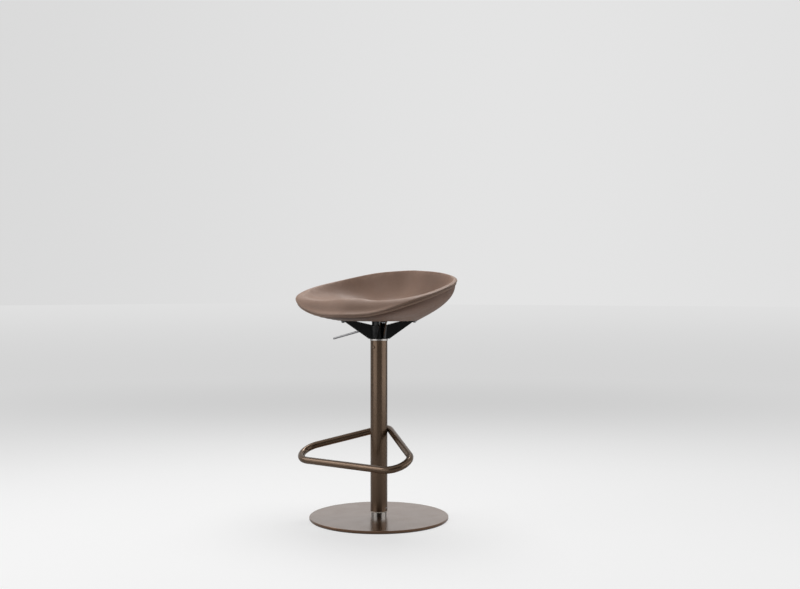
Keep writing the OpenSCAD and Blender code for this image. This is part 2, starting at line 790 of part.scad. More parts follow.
module bolt_washers() {
    color(steel)
        at_bolts() ring(bolt_r + fixed_fit, bolt_washer_r, seat_z - arm_t - bolt_washer_t, bolt_washer_t);
}

module seat_plate() {
    color(dark_steel)
        difference() {
            translate([0, 0, plate_z]) cylinder(r = plate_r, h = plate_t);
            at_bolts()
                translate([0, 0, plate_z - overrun])
                    cylinder(r = bolt_r + fixed_fit, h = plate_t + 2 * overrun, $fn = 32);
        }
}

module seat_shell() {
    color(gloss_black) lofted([for (t = directions) shell_section(t)], shell_z, shell_z + shell_t);
}

module seat_pad() {
    color(leather)
        lofted([for (t = directions) pad_section(t)], shell_z + shell_t + soft_gap, seat_z + bowl_h,
            crossed = true);
}

module seat_cover() {
    color(leather)
        difference() {
            lofted([for (t = directions) cover_section(t)], seat_z, seat_z + cover_t);
            at_bolts()
                translate([0, 0, seat_z - overrun])
                    cylinder(r = cover_hole_r, h = cover_t + 2 * overrun, $fn = 16);
        }
}

module release_lever() {
    color(chrome)
        translate([pivot_x, 0, pivot_z])
            difference() {
                union() {
                    rotate([90, 0, 0])
                        translate([0, 0, -lever_eye_w / 2]) cylinder(r = lever_eye_r, h = lever_eye_w);
                    rotate([0, 90, 0]) cylinder(r = lever_r, h = lever_tip - pivot_x);
                    rotate([0, -90 - lever_fall, 0])
                        cylinder(r = lever_r, h = (lever_reach + pivot_x) / cos(lever_fall));
                }
                rotate([90, 0, 0])
                    translate([0, 0, -lever_eye_w])
                        cylinder(r = pin_r + run_fit, h = 2 * lever_eye_w, $fn = 32);
            }
}

module valve_pin() {
    color(nylon)
        rotate_extrude($fn = 32)
            polygon([[0, cylinder_top - cap_l - valve_tail], [valve_r, cylinder_top - cap_l - valve_tail],
                [valve_r, pivot_z - lever_r - valve_gap - valve_dome],
                [valve_r / 2, pivot_z - lever_r - valve_gap], [0, pivot_z - lever_r - valve_gap]]);
}

floor_pad();
base_disc();
tube_flange();
flange_screws();
stand_tube();
rod_seat();
lower_race();
guide_bush();
piston_rod();
rod_washer();
rod_clip();
ball_cage();
bearing_balls();
upper_race();
bump_stop();
piston();
piston_nut();
gas_cylinder();
cylinder_gland();
column_sleeve();
sleeve_glide();
glide_screws();
sleeve_plug();
plug_screw();
trim_ring();
spider_bracket();
lever_pin();
footrest_loop();
footrest_weld();
seat_bolts();
bolt_washers();
seat_plate();
seat_shell();
seat_pad();
seat_cover();
release_lever();
valve_pin();
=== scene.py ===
"""Looks of an adjustable bar stool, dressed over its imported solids.

The solids carry, turn and lift. This script gives them their surfaces: a stitched leather bucket seat over
the moulded shell, its leather under cover, a smooth bent-tube footrest with its weld bead, and a finish for
every metal, plastic, rubber and felt piece. All lengths are metres, +Z is up, the sitter faces -Y and the
column stands on the origin. A direction round the column is an angle from the front, -Y, towards the
sitter's left, +X.
"""

import json
import logging
import math
from dataclasses import dataclass, field
from enum import Enum
from typing import ClassVar

import bmesh
import bpy
import numpy as np
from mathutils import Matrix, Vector

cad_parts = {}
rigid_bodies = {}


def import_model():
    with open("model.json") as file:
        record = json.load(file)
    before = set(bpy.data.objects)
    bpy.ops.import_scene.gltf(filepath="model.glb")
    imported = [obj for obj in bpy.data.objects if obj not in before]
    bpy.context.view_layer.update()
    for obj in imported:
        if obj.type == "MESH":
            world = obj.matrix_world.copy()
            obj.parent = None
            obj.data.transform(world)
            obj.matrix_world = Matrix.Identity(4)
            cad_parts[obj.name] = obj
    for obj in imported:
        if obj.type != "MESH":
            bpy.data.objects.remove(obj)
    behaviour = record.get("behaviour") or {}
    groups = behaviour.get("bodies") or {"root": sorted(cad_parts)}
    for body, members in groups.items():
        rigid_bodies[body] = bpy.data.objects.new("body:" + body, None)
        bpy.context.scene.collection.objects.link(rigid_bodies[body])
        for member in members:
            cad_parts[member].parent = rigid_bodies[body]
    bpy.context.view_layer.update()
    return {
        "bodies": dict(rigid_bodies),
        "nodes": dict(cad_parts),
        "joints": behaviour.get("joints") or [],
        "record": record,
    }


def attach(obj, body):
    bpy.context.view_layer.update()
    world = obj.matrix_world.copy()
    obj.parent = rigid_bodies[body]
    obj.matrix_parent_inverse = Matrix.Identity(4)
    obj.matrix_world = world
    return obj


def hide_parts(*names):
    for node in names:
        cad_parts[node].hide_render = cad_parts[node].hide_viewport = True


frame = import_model()

LOG = logging.getLogger("bar_stool")

Triple = tuple[float, float, float]
Colour = Triple
Pair = tuple[float, float]
Run = tuple[float, float, int]
Faces = list[tuple[int, ...]]
Array = np.ndarray
Ring = tuple[Array, Array]
Piece = bpy.types.Object
Socket = bpy.types.NodeSocket
Outputs = bpy.types.NodeOutputs

BLACK: Colour = (0.0, 0.0, 0.0)
DISPLAY_TOP = 255
DISPLAY_KNEE = 0.04045
DISPLAY_SLOPE = 12.92
DISPLAY_OFFSET = 0.055
DISPLAY_POWER = 2.4
NEARLY_UPRIGHT = 0.1
SOCKET_KINDS = {"Vector": "NodeSocketVector", "Color": "NodeSocketColor", "Light": "NodeSocketColor",
                "Dark": "NodeSocketColor"}


def srgb(red: int, green: int, blue: int) -> Colour:
    """Turns display values from 0 to 255 into a linear colour.

    Args:
        red: Display value of red.
        green: Display value of green.
        blue: Display value of blue.

    Returns:
        The linear colour that the shaders take.
    """
    def linear(value: float) -> float:
        """One channel from its display share."""
        curved = ((value + DISPLAY_OFFSET) / (1 + DISPLAY_OFFSET)) ** DISPLAY_POWER
        return value / DISPLAY_SLOPE if value <= DISPLAY_KNEE else curved

    return tuple(linear(value / DISPLAY_TOP) for value in (red, green, blue))


def toned(colour: Colour, share: float) -> Colour:
    """A colour times a share."""
    return tuple(share * channel for channel in colour)


# Shader wiring

class CellMeasure(Enum):
    """What a cell pattern measures at each place."""

    TO_EDGE = "DISTANCE_TO_EDGE"
    TO_MIDDLE = "F1"


class Graph:
    """Wires one node tree. Inputs are numbers, colours or the outputs of other nodes."""

    def __init__(self, tree: bpy.types.NodeTree) -> None:
        """Takes an empty tree, or empties it."""
        self.tree = tree
        tree.nodes.clear()

    def feed(self, socket: Socket, value: object) -> None:
        """Links an output to a socket, or sets the socket's own value.

        Args:
            socket: The input to feed.
            value: An output socket, a number, a vector or a linear colour.
        """
        if isinstance(value, Socket):
            self.tree.links.new(value, socket)
        elif socket.type == "RGBA":
            socket.default_value = (*value, 1.0)
        else:
            socket.default_value = value

    def node(self, kind: str, inputs: dict | None = None, **settings: object) -> bpy.types.Node:
        """Adds a node.

        Args:
            kind: Blender's name of the node type.
            inputs: Values or outputs by the input's name or number.
            **settings: Properties of the node.

        Returns:
            The node.
        """
        made = self.tree.nodes.new(kind)
        for name, value in settings.items():
            setattr(made, name, value)
        for name, value in (inputs or {}).items():
            self.feed(made.inputs[name], value)
        return made

    def math(self, operation: str, *values: object) -> Socket:
        """Output of a math node over one to three values."""
        return self.node("ShaderNodeMath", dict(enumerate(values)), operation=operation).outputs[0]

    def times(self, value: object, factor: object) -> Socket:
        """Product of two values."""
        return self.math("MULTIPLY", value, factor)

    def shared(self, first: object, second: object, share: float) -> Socket:
        """Sum of two values, of which the second has the share."""
        return self.math("ADD", self.times(first, 1 - share), self.times(second, share))

    def vector(self, operation: str, *values: object) -> Outputs:
        """Outputs of a vector math node: Vector, or Value for a length or a dot product."""
        return self.node("ShaderNodeVectorMath", dict(enumerate(values)), operation=operation).outputs

    def scaled(self, value: object, low: float, high: float, to_low: object = 0.0,
               to_high: object = 1.0) -> Socket:
        """Smoothly maps a value from one span to another and holds it there.

        Args:
            value: The value to map.
            low: Value that becomes to_low.
            high: Value that becomes to_high.
            to_low: Result at low.
            to_high: Result at high.

        Returns:
            The mapped value.
        """
        inputs = {"Value": value, "From Min": low, "From Max": high, "To Min": to_low, "To Max": to_high}
        return self.node("ShaderNodeMapRange", inputs, interpolation_type="SMOOTHSTEP").outputs[0]

    def mix(self, factor: object, first: object, second: object) -> Socket:
        """Blends two colours.

        Args:
            factor: 0 for the first colour, 1 for the second.
            first: A linear colour or an output.
            second: A linear colour or an output.

        Returns:
            The blended colour.
        """
        made = self.node("ShaderNodeMix", data_type="RGBA")
        colour_inputs = [socket for socket in made.inputs if socket.type == "RGBA"]
        for socket, value in zip((made.inputs[0], *colour_inputs), (factor, first, second)):
            self.feed(socket, value)
        return next(socket for socket in made.outputs if socket.type == "RGBA")

    def noise(self, vector: object, scale: object, detail: float = 3.0, roughness: float = 0.5) -> Socket:
        """Cloudy noise from 0 to 1, with scale in cells a metre."""
        inputs = {"Vector": vector, "Scale": scale, "Detail": detail, "Roughness": roughness}
        return self.node("ShaderNodeTexNoise", inputs).outputs["Fac"]

    def cells(self, vector: object, scale: object, measure: CellMeasure) -> Socket:
        """Distance in a cell pattern, with scale in cells a metre."""
        inputs = {"Vector": vector, "Scale": scale}
        return self.node("ShaderNodeTexVoronoi", inputs, feature=measure.value).outputs["Distance"]

    def bump(self, height: object, depth: float, under: object = None) -> Socket:
        """Normal bent by a height.

        Args:
            height: Height from 0 to 1.
            depth: How deep a height of 1 is, in metres.
            under: Normal to bend further, if any.

        Returns:
            The bent normal.
        """
        inputs = {"Height": height, "Distance": depth, "Strength": 1.0}
        if under is not None:
            inputs["Normal"] = under
        return self.node("ShaderNodeBump", inputs).outputs["Normal"]

    def place(self) -> Socket:
        """Place on the piece, in metres, that moves with it."""
        return self.node("ShaderNodeTexCoord").outputs["Object"]

    def mask(self, name: str) -> Socket:
        """A mask that is stored at the piece's points."""
        return self.node("ShaderNodeAttribute", attribute_name=name).outputs["Fac"]


# Effects that several finishes share. A pair named noise is its detail and roughness, and a span is where a
# change starts and ends.

@dataclass(frozen=True)
class Effect:
    """A shared effect: a node group, built once and placed in each material that uses it."""

    takes: ClassVar[tuple[str, ...]]
    name: str

    def place(self, graph: Graph, inputs: dict[str, object]) -> Outputs:
        """Places the effect in a material.

        Args:
            graph: The material's wiring.
            inputs: Values or outputs by the group's input names.

        Returns:
            The group's outputs.
        """
        group = bpy.data.node_groups.get(self.name) or self.build()
        return graph.node("ShaderNodeGroup", inputs, node_tree=group).outputs

    def build(self) -> bpy.types.NodeTree:
        """Builds the group with its named inputs and outputs.

        Returns:
            The group.
        """
        group = bpy.data.node_groups.new(self.name, "ShaderNodeTree")
        graph = Graph(group)
        self.open_sockets(group, self.takes, "INPUT")
        made = self.wire(graph, graph.node("NodeGroupInput").outputs)
        self.open_sockets(group, tuple(made), "OUTPUT")
        graph.node("NodeGroupOutput", made)
        return group

    @staticmethod
    def open_sockets(group: bpy.types.NodeTree, names: tuple[str, ...], way: str) -> None:
        """Gives the group its named inputs or outputs."""
        for name in names:
            kind = SOCKET_KINDS.get(name, "NodeSocketFloat")
            group.interface.new_socket(name, in_out=way, socket_type=kind)

    def wire(self, graph: Graph, given: Outputs) -> dict[str, Socket]:
        """Wires the effect.

        Args:
            graph: The group's wiring.
            given: The group's inputs.

        Returns:
            What the group puts out, by name.
        """
        raise NotImplementedError


@dataclass(frozen=True)
class Grain(Effect):
    """Pebbled leather: raised cells with creases between them, uneven in size."""

    takes: ClassVar[tuple[str, ...]] = ("Vector", "Cells")
    bend_cells: float = 60.0
    bend_detail: float = 2.0
    bend_reach: float = 0.004
    pore_ratio: float = 2.3
    pore_share: float = 0.3
    crease_width: float = 0.16
    pore_width: float = 0.12

    def wire(self, graph: Graph, given: Outputs) -> dict[str, Socket]:
        """Lays large and small cells in a slightly bent place.

        Args:
            graph: The group's wiring.
            given: Place and number of cells a metre.

        Returns:
            Height of the grain, and mask of its creases.
        """
        inputs = {"Vector": given["Vector"], "Scale": self.bend_cells, "Detail": self.bend_detail}
        bend = graph.node("ShaderNodeTexNoise", inputs).outputs["Color"]
        shift = graph.vector("MULTIPLY", bend, (self.bend_reach,) * 3)["Vector"]
        place = graph.vector("ADD", given["Vector"], shift)["Vector"]
        large = graph.cells(place, given["Cells"], CellMeasure.TO_EDGE)
        small = graph.cells(place, graph.times(given["Cells"], self.pore_ratio), CellMeasure.TO_EDGE)
        pebbles = graph.scaled(large, 0.0, self.crease_width)
        pores = graph.scaled(small, 0.0, self.pore_width)
        return {"Height": graph.shared(pebbles, pores, self.pore_share),
                "Creases": graph.math("SUBTRACT", 1.0, pebbles)}


@dataclass(frozen=True)
class Mottle(Effect):
    """Slow, cloudy change between two colours, with a finer layer over it."""

    takes: ClassVar[tuple[str, ...]] = ("Vector", "Light", "Dark", "Size", "Amount")
    slow_noise: Pair = (4.0, 0.55)
    fine_noise: Pair = (3.0, 0.6)
    fine_ratio: float = 9.0
    fine_share: float = 0.3
    span: Pair = (0.34, 0.66)

    def wire(self, graph: Graph, given: Outputs) -> dict[str, Socket]:
        """Mixes the two colours by two layers of noise.

        Args:
            graph: The group's wiring.
            given: Place, light and dark colour, cells a metre, and how much of the dark colour.

        Returns:
            The mottled colour.
        """
        slow = graph.noise(given["Vector"], given["Size"], *self.slow_noise)
        fine = graph.noise(given["Vector"], graph.times(given["Size"], self.fine_ratio), *self.fine_noise)
        both = graph.shared(slow, fine, self.fine_share)
        mask = graph.times(graph.scaled(both, *self.span), given["Amount"])
        return {"Color": graph.mix(mask, given["Light"], given["Dark"])}


@dataclass(frozen=True)
class Smudge(Effect):
    """Roughness that wanders between two values, as on a handled surface."""

    takes: ClassVar[tuple[str, ...]] = ("Vector", "Smooth", "Rough", "Size")
    slow_noise: Pair = (5.0, 0.6)
    span: Pair = (0.3, 0.7)

    def wire(self, graph: Graph, given: Outputs) -> dict[str, Socket]:
        """The wandering roughness, as Value."""
        slow = graph.noise(given["Vector"], given["Size"], *self.slow_noise)
        return {"Value": graph.scaled(slow, *self.span, given["Smooth"], given["Rough"])}


@dataclass(frozen=True)
class Peel(Effect):
    """The soft unevenness of sprayed paint, with a few dust specks in it."""

    takes: ClassVar[tuple[str, ...]] = ("Vector", "Size")
    wave_noise: Pair = (2.0, 0.4)
    speck_ratio: float = 0.12
    speck_span: Pair = (0.05, 0.02)
    speck_height: float = 0.6

    def wire(self, graph: Graph, given: Outputs) -> dict[str, Socket]:
        """Adds the specks to the waves.

        Args:
            graph: The group's wiring.
            given: Place and cells a metre.

        Returns:
            The height.
        """
        waves = graph.noise(given["Vector"], given["Size"], *self.wave_noise)
        size = graph.times(given["Size"], self.speck_ratio)
        specks = graph.scaled(graph.cells(given["Vector"], size, CellMeasure.TO_MIDDLE), *self.speck_span)
        return {"Height": graph.math("ADD", waves, graph.times(specks, self.speck_height))}


@dataclass(frozen=True)
class Brushed(Effect):
    """Fine lines drawn along one axis, from a vector squeezed across them."""

    takes: ClassVar[tuple[str, ...]] = ("Vector", "Size")
    line_noise: Pair = (3.0, 0.7)
    span: Pair = (0.35, 0.65)

    def wire(self, graph: Graph, given: Outputs) -> dict[str, Socket]:
        """The lines' Height, and Lines as their mask."""
        lines = graph.noise(given["Vector"], given["Size"], *self.line_noise)
        return {"Height": lines, "Lines": graph.scaled(lines, *self.span)}


@dataclass(frozen=True)
class EdgeRubAndHighlight(Effect):
    """A rubbed edge with a painted highlight along it, broken up by noise, from how close a point is to the
    edge.
    """

    takes: ClassVar[tuple[str, ...]] = ("Vector", "Edge", "Size")
    patch_noise: Pair = (4.0, 0.65)
    span: Pair = (0.35, 0.7)

    def wire(self, graph: Graph, given: Outputs) -> dict[str, Socket]:
        """The Mask of rubbing with its painted highlight."""
        patches = graph.scaled(graph.noise(given["Vector"], given["Size"], *self.patch_noise), *self.span)
        return {"Mask": graph.times(given["Edge"], patches)}


GRAIN = Grain("leather grain")
MOTTLE = Mottle("mottled colour")
SMUDGE = Smudge("smudged gloss")
PEEL = Peel("orange peel")
BRUSHED = Brushed("brushed lines")
EDGE_RUB_AND_HIGHLIGHT = EdgeRubAndHighlight("rubbed edge and highlight")


# Finishes

@dataclass(frozen=True)
class Finish:
    """A surface finish, laid on pieces as one material. Patterns are sized in cells a metre.

    The colour clouds towards its dark share, and the gloss wanders between smooth and rough.
    """

    name: str
    colour: Colour
    dark_share: float = 0.75
    cloud_cells: float = 45.0
    cloud_amount: float = 0.5
    smooth: float = 0.45
    rough: float = 0.6
    smudge_cells: float = 50.0
    metallic: float = 0.0
    specular: float = 0.5
    coat: float = 0.0
    coat_rough: float = 0.03
    sheen: float = 0.0

    def dark(self) -> Colour:
        """The colour towards which the finish clouds."""
        return toned(self.colour, self.dark_share)

    def tone(self, graph: Graph, place: Socket) -> Socket:
        """The finish's clouded colour."""
        return MOTTLE.place(graph, {"Vector": place, "Light": self.colour, "Dark": self.dark(),
                                    "Size": self.cloud_cells, "Amount": self.cloud_amount})["Color"]

    def gloss(self, graph: Graph, place: Socket) -> Socket:
        """The finish's wandering roughness."""
        return SMUDGE.place(graph, {"Vector": place, "Smooth": self.smooth, "Rough": self.rough,
                                    "Size": self.smudge_cells})["Value"]

    def relief(self, graph: Graph, place: Socket) -> Socket:
        """Normal with the finish's fine relief."""
        raise NotImplementedError

    def wire(self, graph: Graph) -> dict[str, Socket]:
        """Wires what changes over the surface.

        Args:
            graph: The material's wiring.

        Returns:
            Outputs by the names of the shader's inputs.
        """
        place = graph.place()
        return {"Base Color": self.tone(graph, place), "Roughness": self.gloss(graph, place),
                "Normal": self.relief(graph, place)}

    def material(self) -> bpy.types.Material:
        """The finish's material, made when it is first asked for.

        Returns:
            The material.
        """
        found = bpy.data.materials.get(self.name)
        if found is not None:
            return found
        made = bpy.data.materials.new(self.name)
        made.use_nodes = True
        made.diffuse_color = (*self.colour, 1.0)
        graph = Graph(made.node_tree)
        shader = graph.node("ShaderNodeBsdfPrincipled", {
            "Base Color": self.colour, "Metallic": self.metallic, "Specular IOR Level": self.specular,
            "Coat Weight": self.coat, "Coat Roughness": self.coat_rough, "Sheen Weight": self.sheen})
        graph.node("ShaderNodeOutputMaterial", {"Surface": shader.outputs["BSDF"]})
        for name, value in self.wire(graph).items():
            graph.feed(shader.inputs[name], value)
        return made


@dataclass(frozen=True)
class Leather(Finish):
    """Soft grained leather, darker in its creases and seams, lighter where it is rubbed and where a highlight
    is painted along the crest, and painted darker under the seat's lip on the cover.
    """

    cloud_cells: float = 14.0
    cloud_amount: float = 0.16
    smooth: float = 0.46
    smudge_cells: float = 22.0
    specular: float = 0.25
    shade: Colour = (0.1, 0.07, 0.055)
    cells: float = 620.0
    grain_depth: float = 0.00010
    crease_dark: float = 0.22
    seam_and_shade_dark: float = 0.55
    seam_shade_share: float = 0.45
    # The rub mask's lightening is partly wear and partly a painted highlight along the crest.
    rub_and_highlight_cells: float = 40.0
    rub_highlight_gain: float = 1.3
    rub_highlight_lift: float = 0.01
    rub_highlight_share: float = 0.5
    rub_polish: float = 0.08
    fold_cells: float = 90.0
    fold_depth: float = 0.00035

    def dark(self) -> Colour:
        """The leather's own shade."""
        return self.shade

    def wire(self, graph: Graph) -> dict[str, Socket]:
        """Wires grain over soft folds, mottled dye, a rubbed crest with a painted highlight, and darker seams
        with painted shade under the lip on the cover.

        Args:
            graph: The material's wiring.

        Returns:
            Outputs by the names of the shader's inputs.
        """
        place = graph.place()
        grain = GRAIN.place(graph, {"Vector": place, "Cells": self.cells})
        creases = graph.times(grain["Creases"], self.crease_dark)
        creased = graph.mix(creases, self.tone(graph, place), self.shade)
        inputs = {"Vector": place, "Edge": graph.mask("rub_and_highlight"), "Size": self.rub_and_highlight_cells}
        rub_and_highlight = EDGE_RUB_AND_HIGHLIGHT.place(graph, inputs)["Mask"]
        # Painted highlight: lighter along the crest, together with the wear there.
        light = tuple(min(1.0, channel + self.rub_highlight_lift) for channel in toned(self.colour, self.rub_highlight_gain))
        rubbed_and_highlit = graph.mix(graph.times(rub_and_highlight, self.rub_highlight_share), creased, light)
        seam_shade = toned(self.shade, self.seam_shade_share)
        # Darker seams, and on the cover painted shade under the lip.
        seamed_and_shaded = graph.mix(graph.times(graph.mask("seam"), self.seam_and_shade_dark), rubbed_and_highlit, seam_shade)
        polished = graph.math("SUBTRACT", self.gloss(graph, place), graph.times(rub_and_highlight, self.rub_polish))
        folds = graph.bump(graph.noise(place, self.fold_cells), self.fold_depth)
        return {"Base Color": seamed_and_shaded, "Roughness": polished,
                "Normal": graph.bump(grain["Height"], self.grain_depth, folds)}


@dataclass(frozen=True)
class Fibrous(Finish):
    """Fibres that stand a little out of the surface and are rougher there."""

    fibre_cells: float = 1500.0
    fibre_noise: Pair = (2.0, 0.5)
    fibre_stretch: Triple = (1.0, 1.0, 1.0)
    fibre_span: Pair = (0.3, 0.7)
    fibre_depth: float = 0.00015

    def fibres(self, graph: Graph, place: Socket) -> Socket:
        """Height of the fibres."""
        stretched = graph.vector("MULTIPLY", place, self.fibre_stretch)["Vector"]
        return graph.noise(stretched, self.fibre_cells, *self.fibre_noise)

    def gloss(self, graph: Graph, place: Socket) -> Socket:
        """Roughness that follows the fibres."""
        return graph.scaled(self.fibres(graph, place), *self.fibre_span, self.smooth, self.rough)

    def relief(self, graph: Graph, place: Socket) -> Socket:
        """The fibres' relief."""
        return graph.bump(self.fibres(graph, place), self.fibre_depth)


@dataclass(frozen=True)
class Thread(Fibrous):
    """Sewing thread, its strands twisted across the stitch."""

    dark_share: float = 0.6
    cloud_cells: float = 300.0
    cloud_amount: float = 0.6
    smooth: float = 0.5
    rough: float = 0.75
    fibre_stretch: Triple = (1.0, 1.0, 2.5)


@dataclass(frozen=True)
class Felt(Fibrous):
    """Pressed wool felt, lighter where its fibres stand up."""

    dark_share: float = 0.5
    cloud_cells: float = 180.0
    cloud_amount: float = 0.7
    smooth: float = 0.85
    rough: float = 1.0
    sheen: float = 0.3
    fibre_cells: float = 1400.0
    fibre_noise: Pair = (5.0, 0.75)
    fibre_depth: float = 0.0004
    fibre_tint: float = 2.0
    fibre_light: float = 0.4
    light_span: Pair = (0.5, 0.75)

    def tone(self, graph: Graph, place: Socket) -> Socket:
        """The felt's clouded colour with its lighter fibres."""
        standing = graph.scaled(self.fibres(graph, place), *self.light_span, 0.0, self.fibre_light)
        return graph.mix(standing, super().tone(graph, place), toned(self.colour, self.fibre_tint))


@dataclass(frozen=True)
class Sprayed(Finish):
    """A sprayed coat with the soft waves of orange peel."""

    peel_cells: float = 420.0
    peel_depth: float = 0.000004

    def relief(self, graph: Graph, place: Socket) -> Socket:
        """The waves' relief."""
        peel = PEEL.place(graph, {"Vector": place, "Size": self.peel_cells})["Height"]
        return graph.bump(peel, self.peel_depth)


@dataclass(frozen=True)
class Paint(Sprayed):
    """Satin paint with fine metal flakes under a clear coat."""

    dark_share: float = 0.8
    cloud_cells: float = 9.0
    smooth: float = 0.2
    rough: float = 0.27
    smudge_cells: float = 16.0
    metallic: float = 0.6
    coat: float = 0.12
    coat_rough: float = 0.1
    flake_cells: float = 2600.0
    flake_detail: float = 1.0
    flake_span: Pair = (0.42, 0.62)
    flake_tint: float = 1.25
    flake_light: float = 0.3

    def tone(self, graph: Graph, place: Socket) -> Socket:
        """The paint's clouded colour with lighter flakes."""
        flakes = graph.scaled(graph.noise(place, self.flake_cells, self.flake_detail), *self.flake_span)
        return graph.mix(graph.times(flakes, self.flake_light), super().tone(graph, place),
                         toned(self.colour, self.flake_tint))


@dataclass(frozen=True)
class GlossEnamel(Sprayed):
    """Thick gloss enamel on a casting, whose waves show through it."""

    dark_share: float = 0.6
    cloud_cells: float = 28.0
    smooth: float = 0.06
    rough: float = 0.13
    smudge_cells: float = 24.0
    specular: float = 0.2
    peel_cells: float = 240.0
    peel_depth: float = 0.00006


@dataclass(frozen=True)
class PolishedMetal(Finish):
    """Plated or polished metal with faint smudges and hair scratches."""

    dark_share: float = 0.85
    cloud_cells: float = 35.0
    cloud_amount: float = 0.4
    smooth: float = 0.05
    rough: float = 0.12
    smudge_cells: float = 30.0
    metallic: float = 1.0
    line_cells: float = 1800.0
    line_stretch: Triple = (1.0, 1.0, 0.04)
    line_depth: float = 0.000004

    def lines(self, graph: Graph, place: Socket) -> Outputs:
        """The drawn lines' outputs."""
        stretched = graph.vector("MULTIPLY", place, self.line_stretch)["Vector"]
        return BRUSHED.place(graph, {"Vector": stretched, "Size": self.line_cells})

    def relief(self, graph: Graph, place: Socket) -> Socket:
        """The lines' relief."""
        return graph.bump(self.lines(graph, place)["Height"], self.line_depth)


@dataclass(frozen=True)
class MachinedMetal(PolishedMetal):
    """Turned or plated steel, with tool lines round it that are duller than the metal between them."""

    dark_share: float = 0.62
    cloud_cells: float = 60.0
    cloud_amount: float = 0.6
    rough: float = 0.34
    line_rough: float = 0.16
    line_cells: float = 900.0
    line_stretch: Triple = (0.05, 0.05, 1.0)
    line_depth: float = 0.00003

    def gloss(self, graph: Graph, place: Socket) -> Socket:
        """Roughness that follows the tool lines."""
        lines = self.lines(graph, place)["Lines"]
        return graph.scaled(lines, 0.0, 1.0, self.rough, self.rough + self.line_rough)


@dataclass(frozen=True)
class Moulding(Finish):
    """Moulded plastic or rubber with a fine spark-eroded texture and a dusty tone."""

    texture_cells: float = 1900.0
    texture_noise: Pair = (2.0, 0.6)
    texture_depth: float = 0.00003

    def relief(self, graph: Graph, place: Socket) -> Socket:
        """The mould's texture."""
        return graph.bump(graph.noise(place, self.texture_cells, *self.texture_noise), self.texture_depth)


SEAT_LEATHER = Leather("taupe seat leather", srgb(137, 112, 97), shade=srgb(112, 89, 76))
# The cover's seam mask also holds painted shade under the seat's lip, so it darkens more.
UNDER_LEATHER = Leather("taupe cover leather", srgb(131, 105, 91), shade=srgb(106, 83, 71), cells=560.0,
                        seam_and_shade_dark=0.92)
SEAT_THREAD = Thread("taupe thread", srgb(164, 146, 130))
BRONZE_PAINT = Paint("bronze brown paint", srgb(96, 76, 58))
BASE_PAINT = Paint("bronze brown base paint", srgb(114, 84, 60), metallic=0.7, coat=0.45, coat_rough=0.2)
BLACK_ENAMEL = GlossEnamel("gloss black enamel", (0.0022, 0.0022, 0.0026))
CHROME = PolishedMetal("polished chrome", (0.78, 0.79, 0.8))
TUBE_CHROME = PolishedMetal("dark satin chrome", (0.34, 0.34, 0.33), smooth=0.09, rough=0.16)
RING_CHROME = PolishedMetal("satin ring chrome", (0.42, 0.4, 0.38), smooth=0.3, rough=0.38)
STEEL = MachinedMetal("zinc plated steel", (0.6, 0.61, 0.63))
BLACK_STEEL = MachinedMetal("black oxide steel", (0.07, 0.07, 0.075))
LEVER_STEEL = MachinedMetal("dull lever steel", (0.3, 0.3, 0.31), rough=0.36)
NYLON = Moulding("natural nylon", srgb(214, 210, 200))
SHELL_PLASTIC = Moulding("black shell plastic", (0.02, 0.02, 0.02))
RUBBER = Moulding("black rubber", (0.018, 0.018, 0.018), smooth=0.7, rough=0.85)
FELT = Felt("grey felt", (0.03, 0.03, 0.03))

SLOT_FINISHES = {
    "bronze_paint": BRONZE_PAINT, "base_paint": BASE_PAINT, "seat_leather": SEAT_LEATHER,
    "under_leather": UNDER_LEATHER, "shell_plastic": SHELL_PLASTIC, "gloss_black": BLACK_ENAMEL,
    "chrome": CHROME, "steel": STEEL, "black_steel": BLACK_STEEL, "nylon": NYLON, "rubber": RUBBER,
    "felt": FELT,
}
NODE_FINISHES = {
    "release_lever": LEVER_STEEL, "plug_screw": BRONZE_PAINT, "glide_screws": LEVER_STEEL,
    "stand_tube": TUBE_CHROME, "trim_ring": RING_CHROME,
}


# Mesh making

def mesh_object(name: str, points: Array, faces: Faces) -> Piece:
    """Makes a smooth-shaded object from points and faces, with its normals outward.

    Args:
        name: Name of the piece.
        points: Rows of x, y, z.
        faces: Corner numbers of each face.

    Returns:
        The object, linked to the scene.
    """
    mesh = bpy.data.meshes.new(name)
    mesh.from_pydata([tuple(p) for p in points], [], faces)
    work = bmesh.new()
    work.from_mesh(mesh)
    bmesh.ops.recalc_face_normals(work, faces=work.faces)
    work.to_mesh(mesh)
    work.free()
    mesh.shade_smooth()
    made = bpy.data.objects.new(name, mesh)
    bpy.context.scene.collection.objects.link(made)
    return made


def dress(piece: Piece, finish: Finish) -> None:
    """Gives a piece one finish in place of whatever it had."""
    piece.data.materials.clear()
    piece.data.materials.append(finish.material())


def tube_faces(rings: int, sides: int, closed: bool) -> Faces:
    """Faces of a tube of rings.

    Args:
        rings: Number of rings.
        sides: Points of each ring.
        closed: Whether the last ring meets the first. An open tube has two more points, its two middles.

    Returns:
        Corner numbers of each face.
    """
    faces = []
    for ring in range(rings if closed else rings - 1):
        low, high = ring * sides, (ring + 1) % rings * sides
        faces += [(low + k, low + (k + 1) % sides, high + (k + 1) % sides, high + k) for k in range(sides)]
    if not closed:
        last, end = (rings - 1) * sides, rings * sides
        faces += [(end, (k + 1) % sides, k) for k in range(sides)]
        faces += [(end + 1, last + k, last + (k + 1) % sides) for k in range(sides)]
    return faces


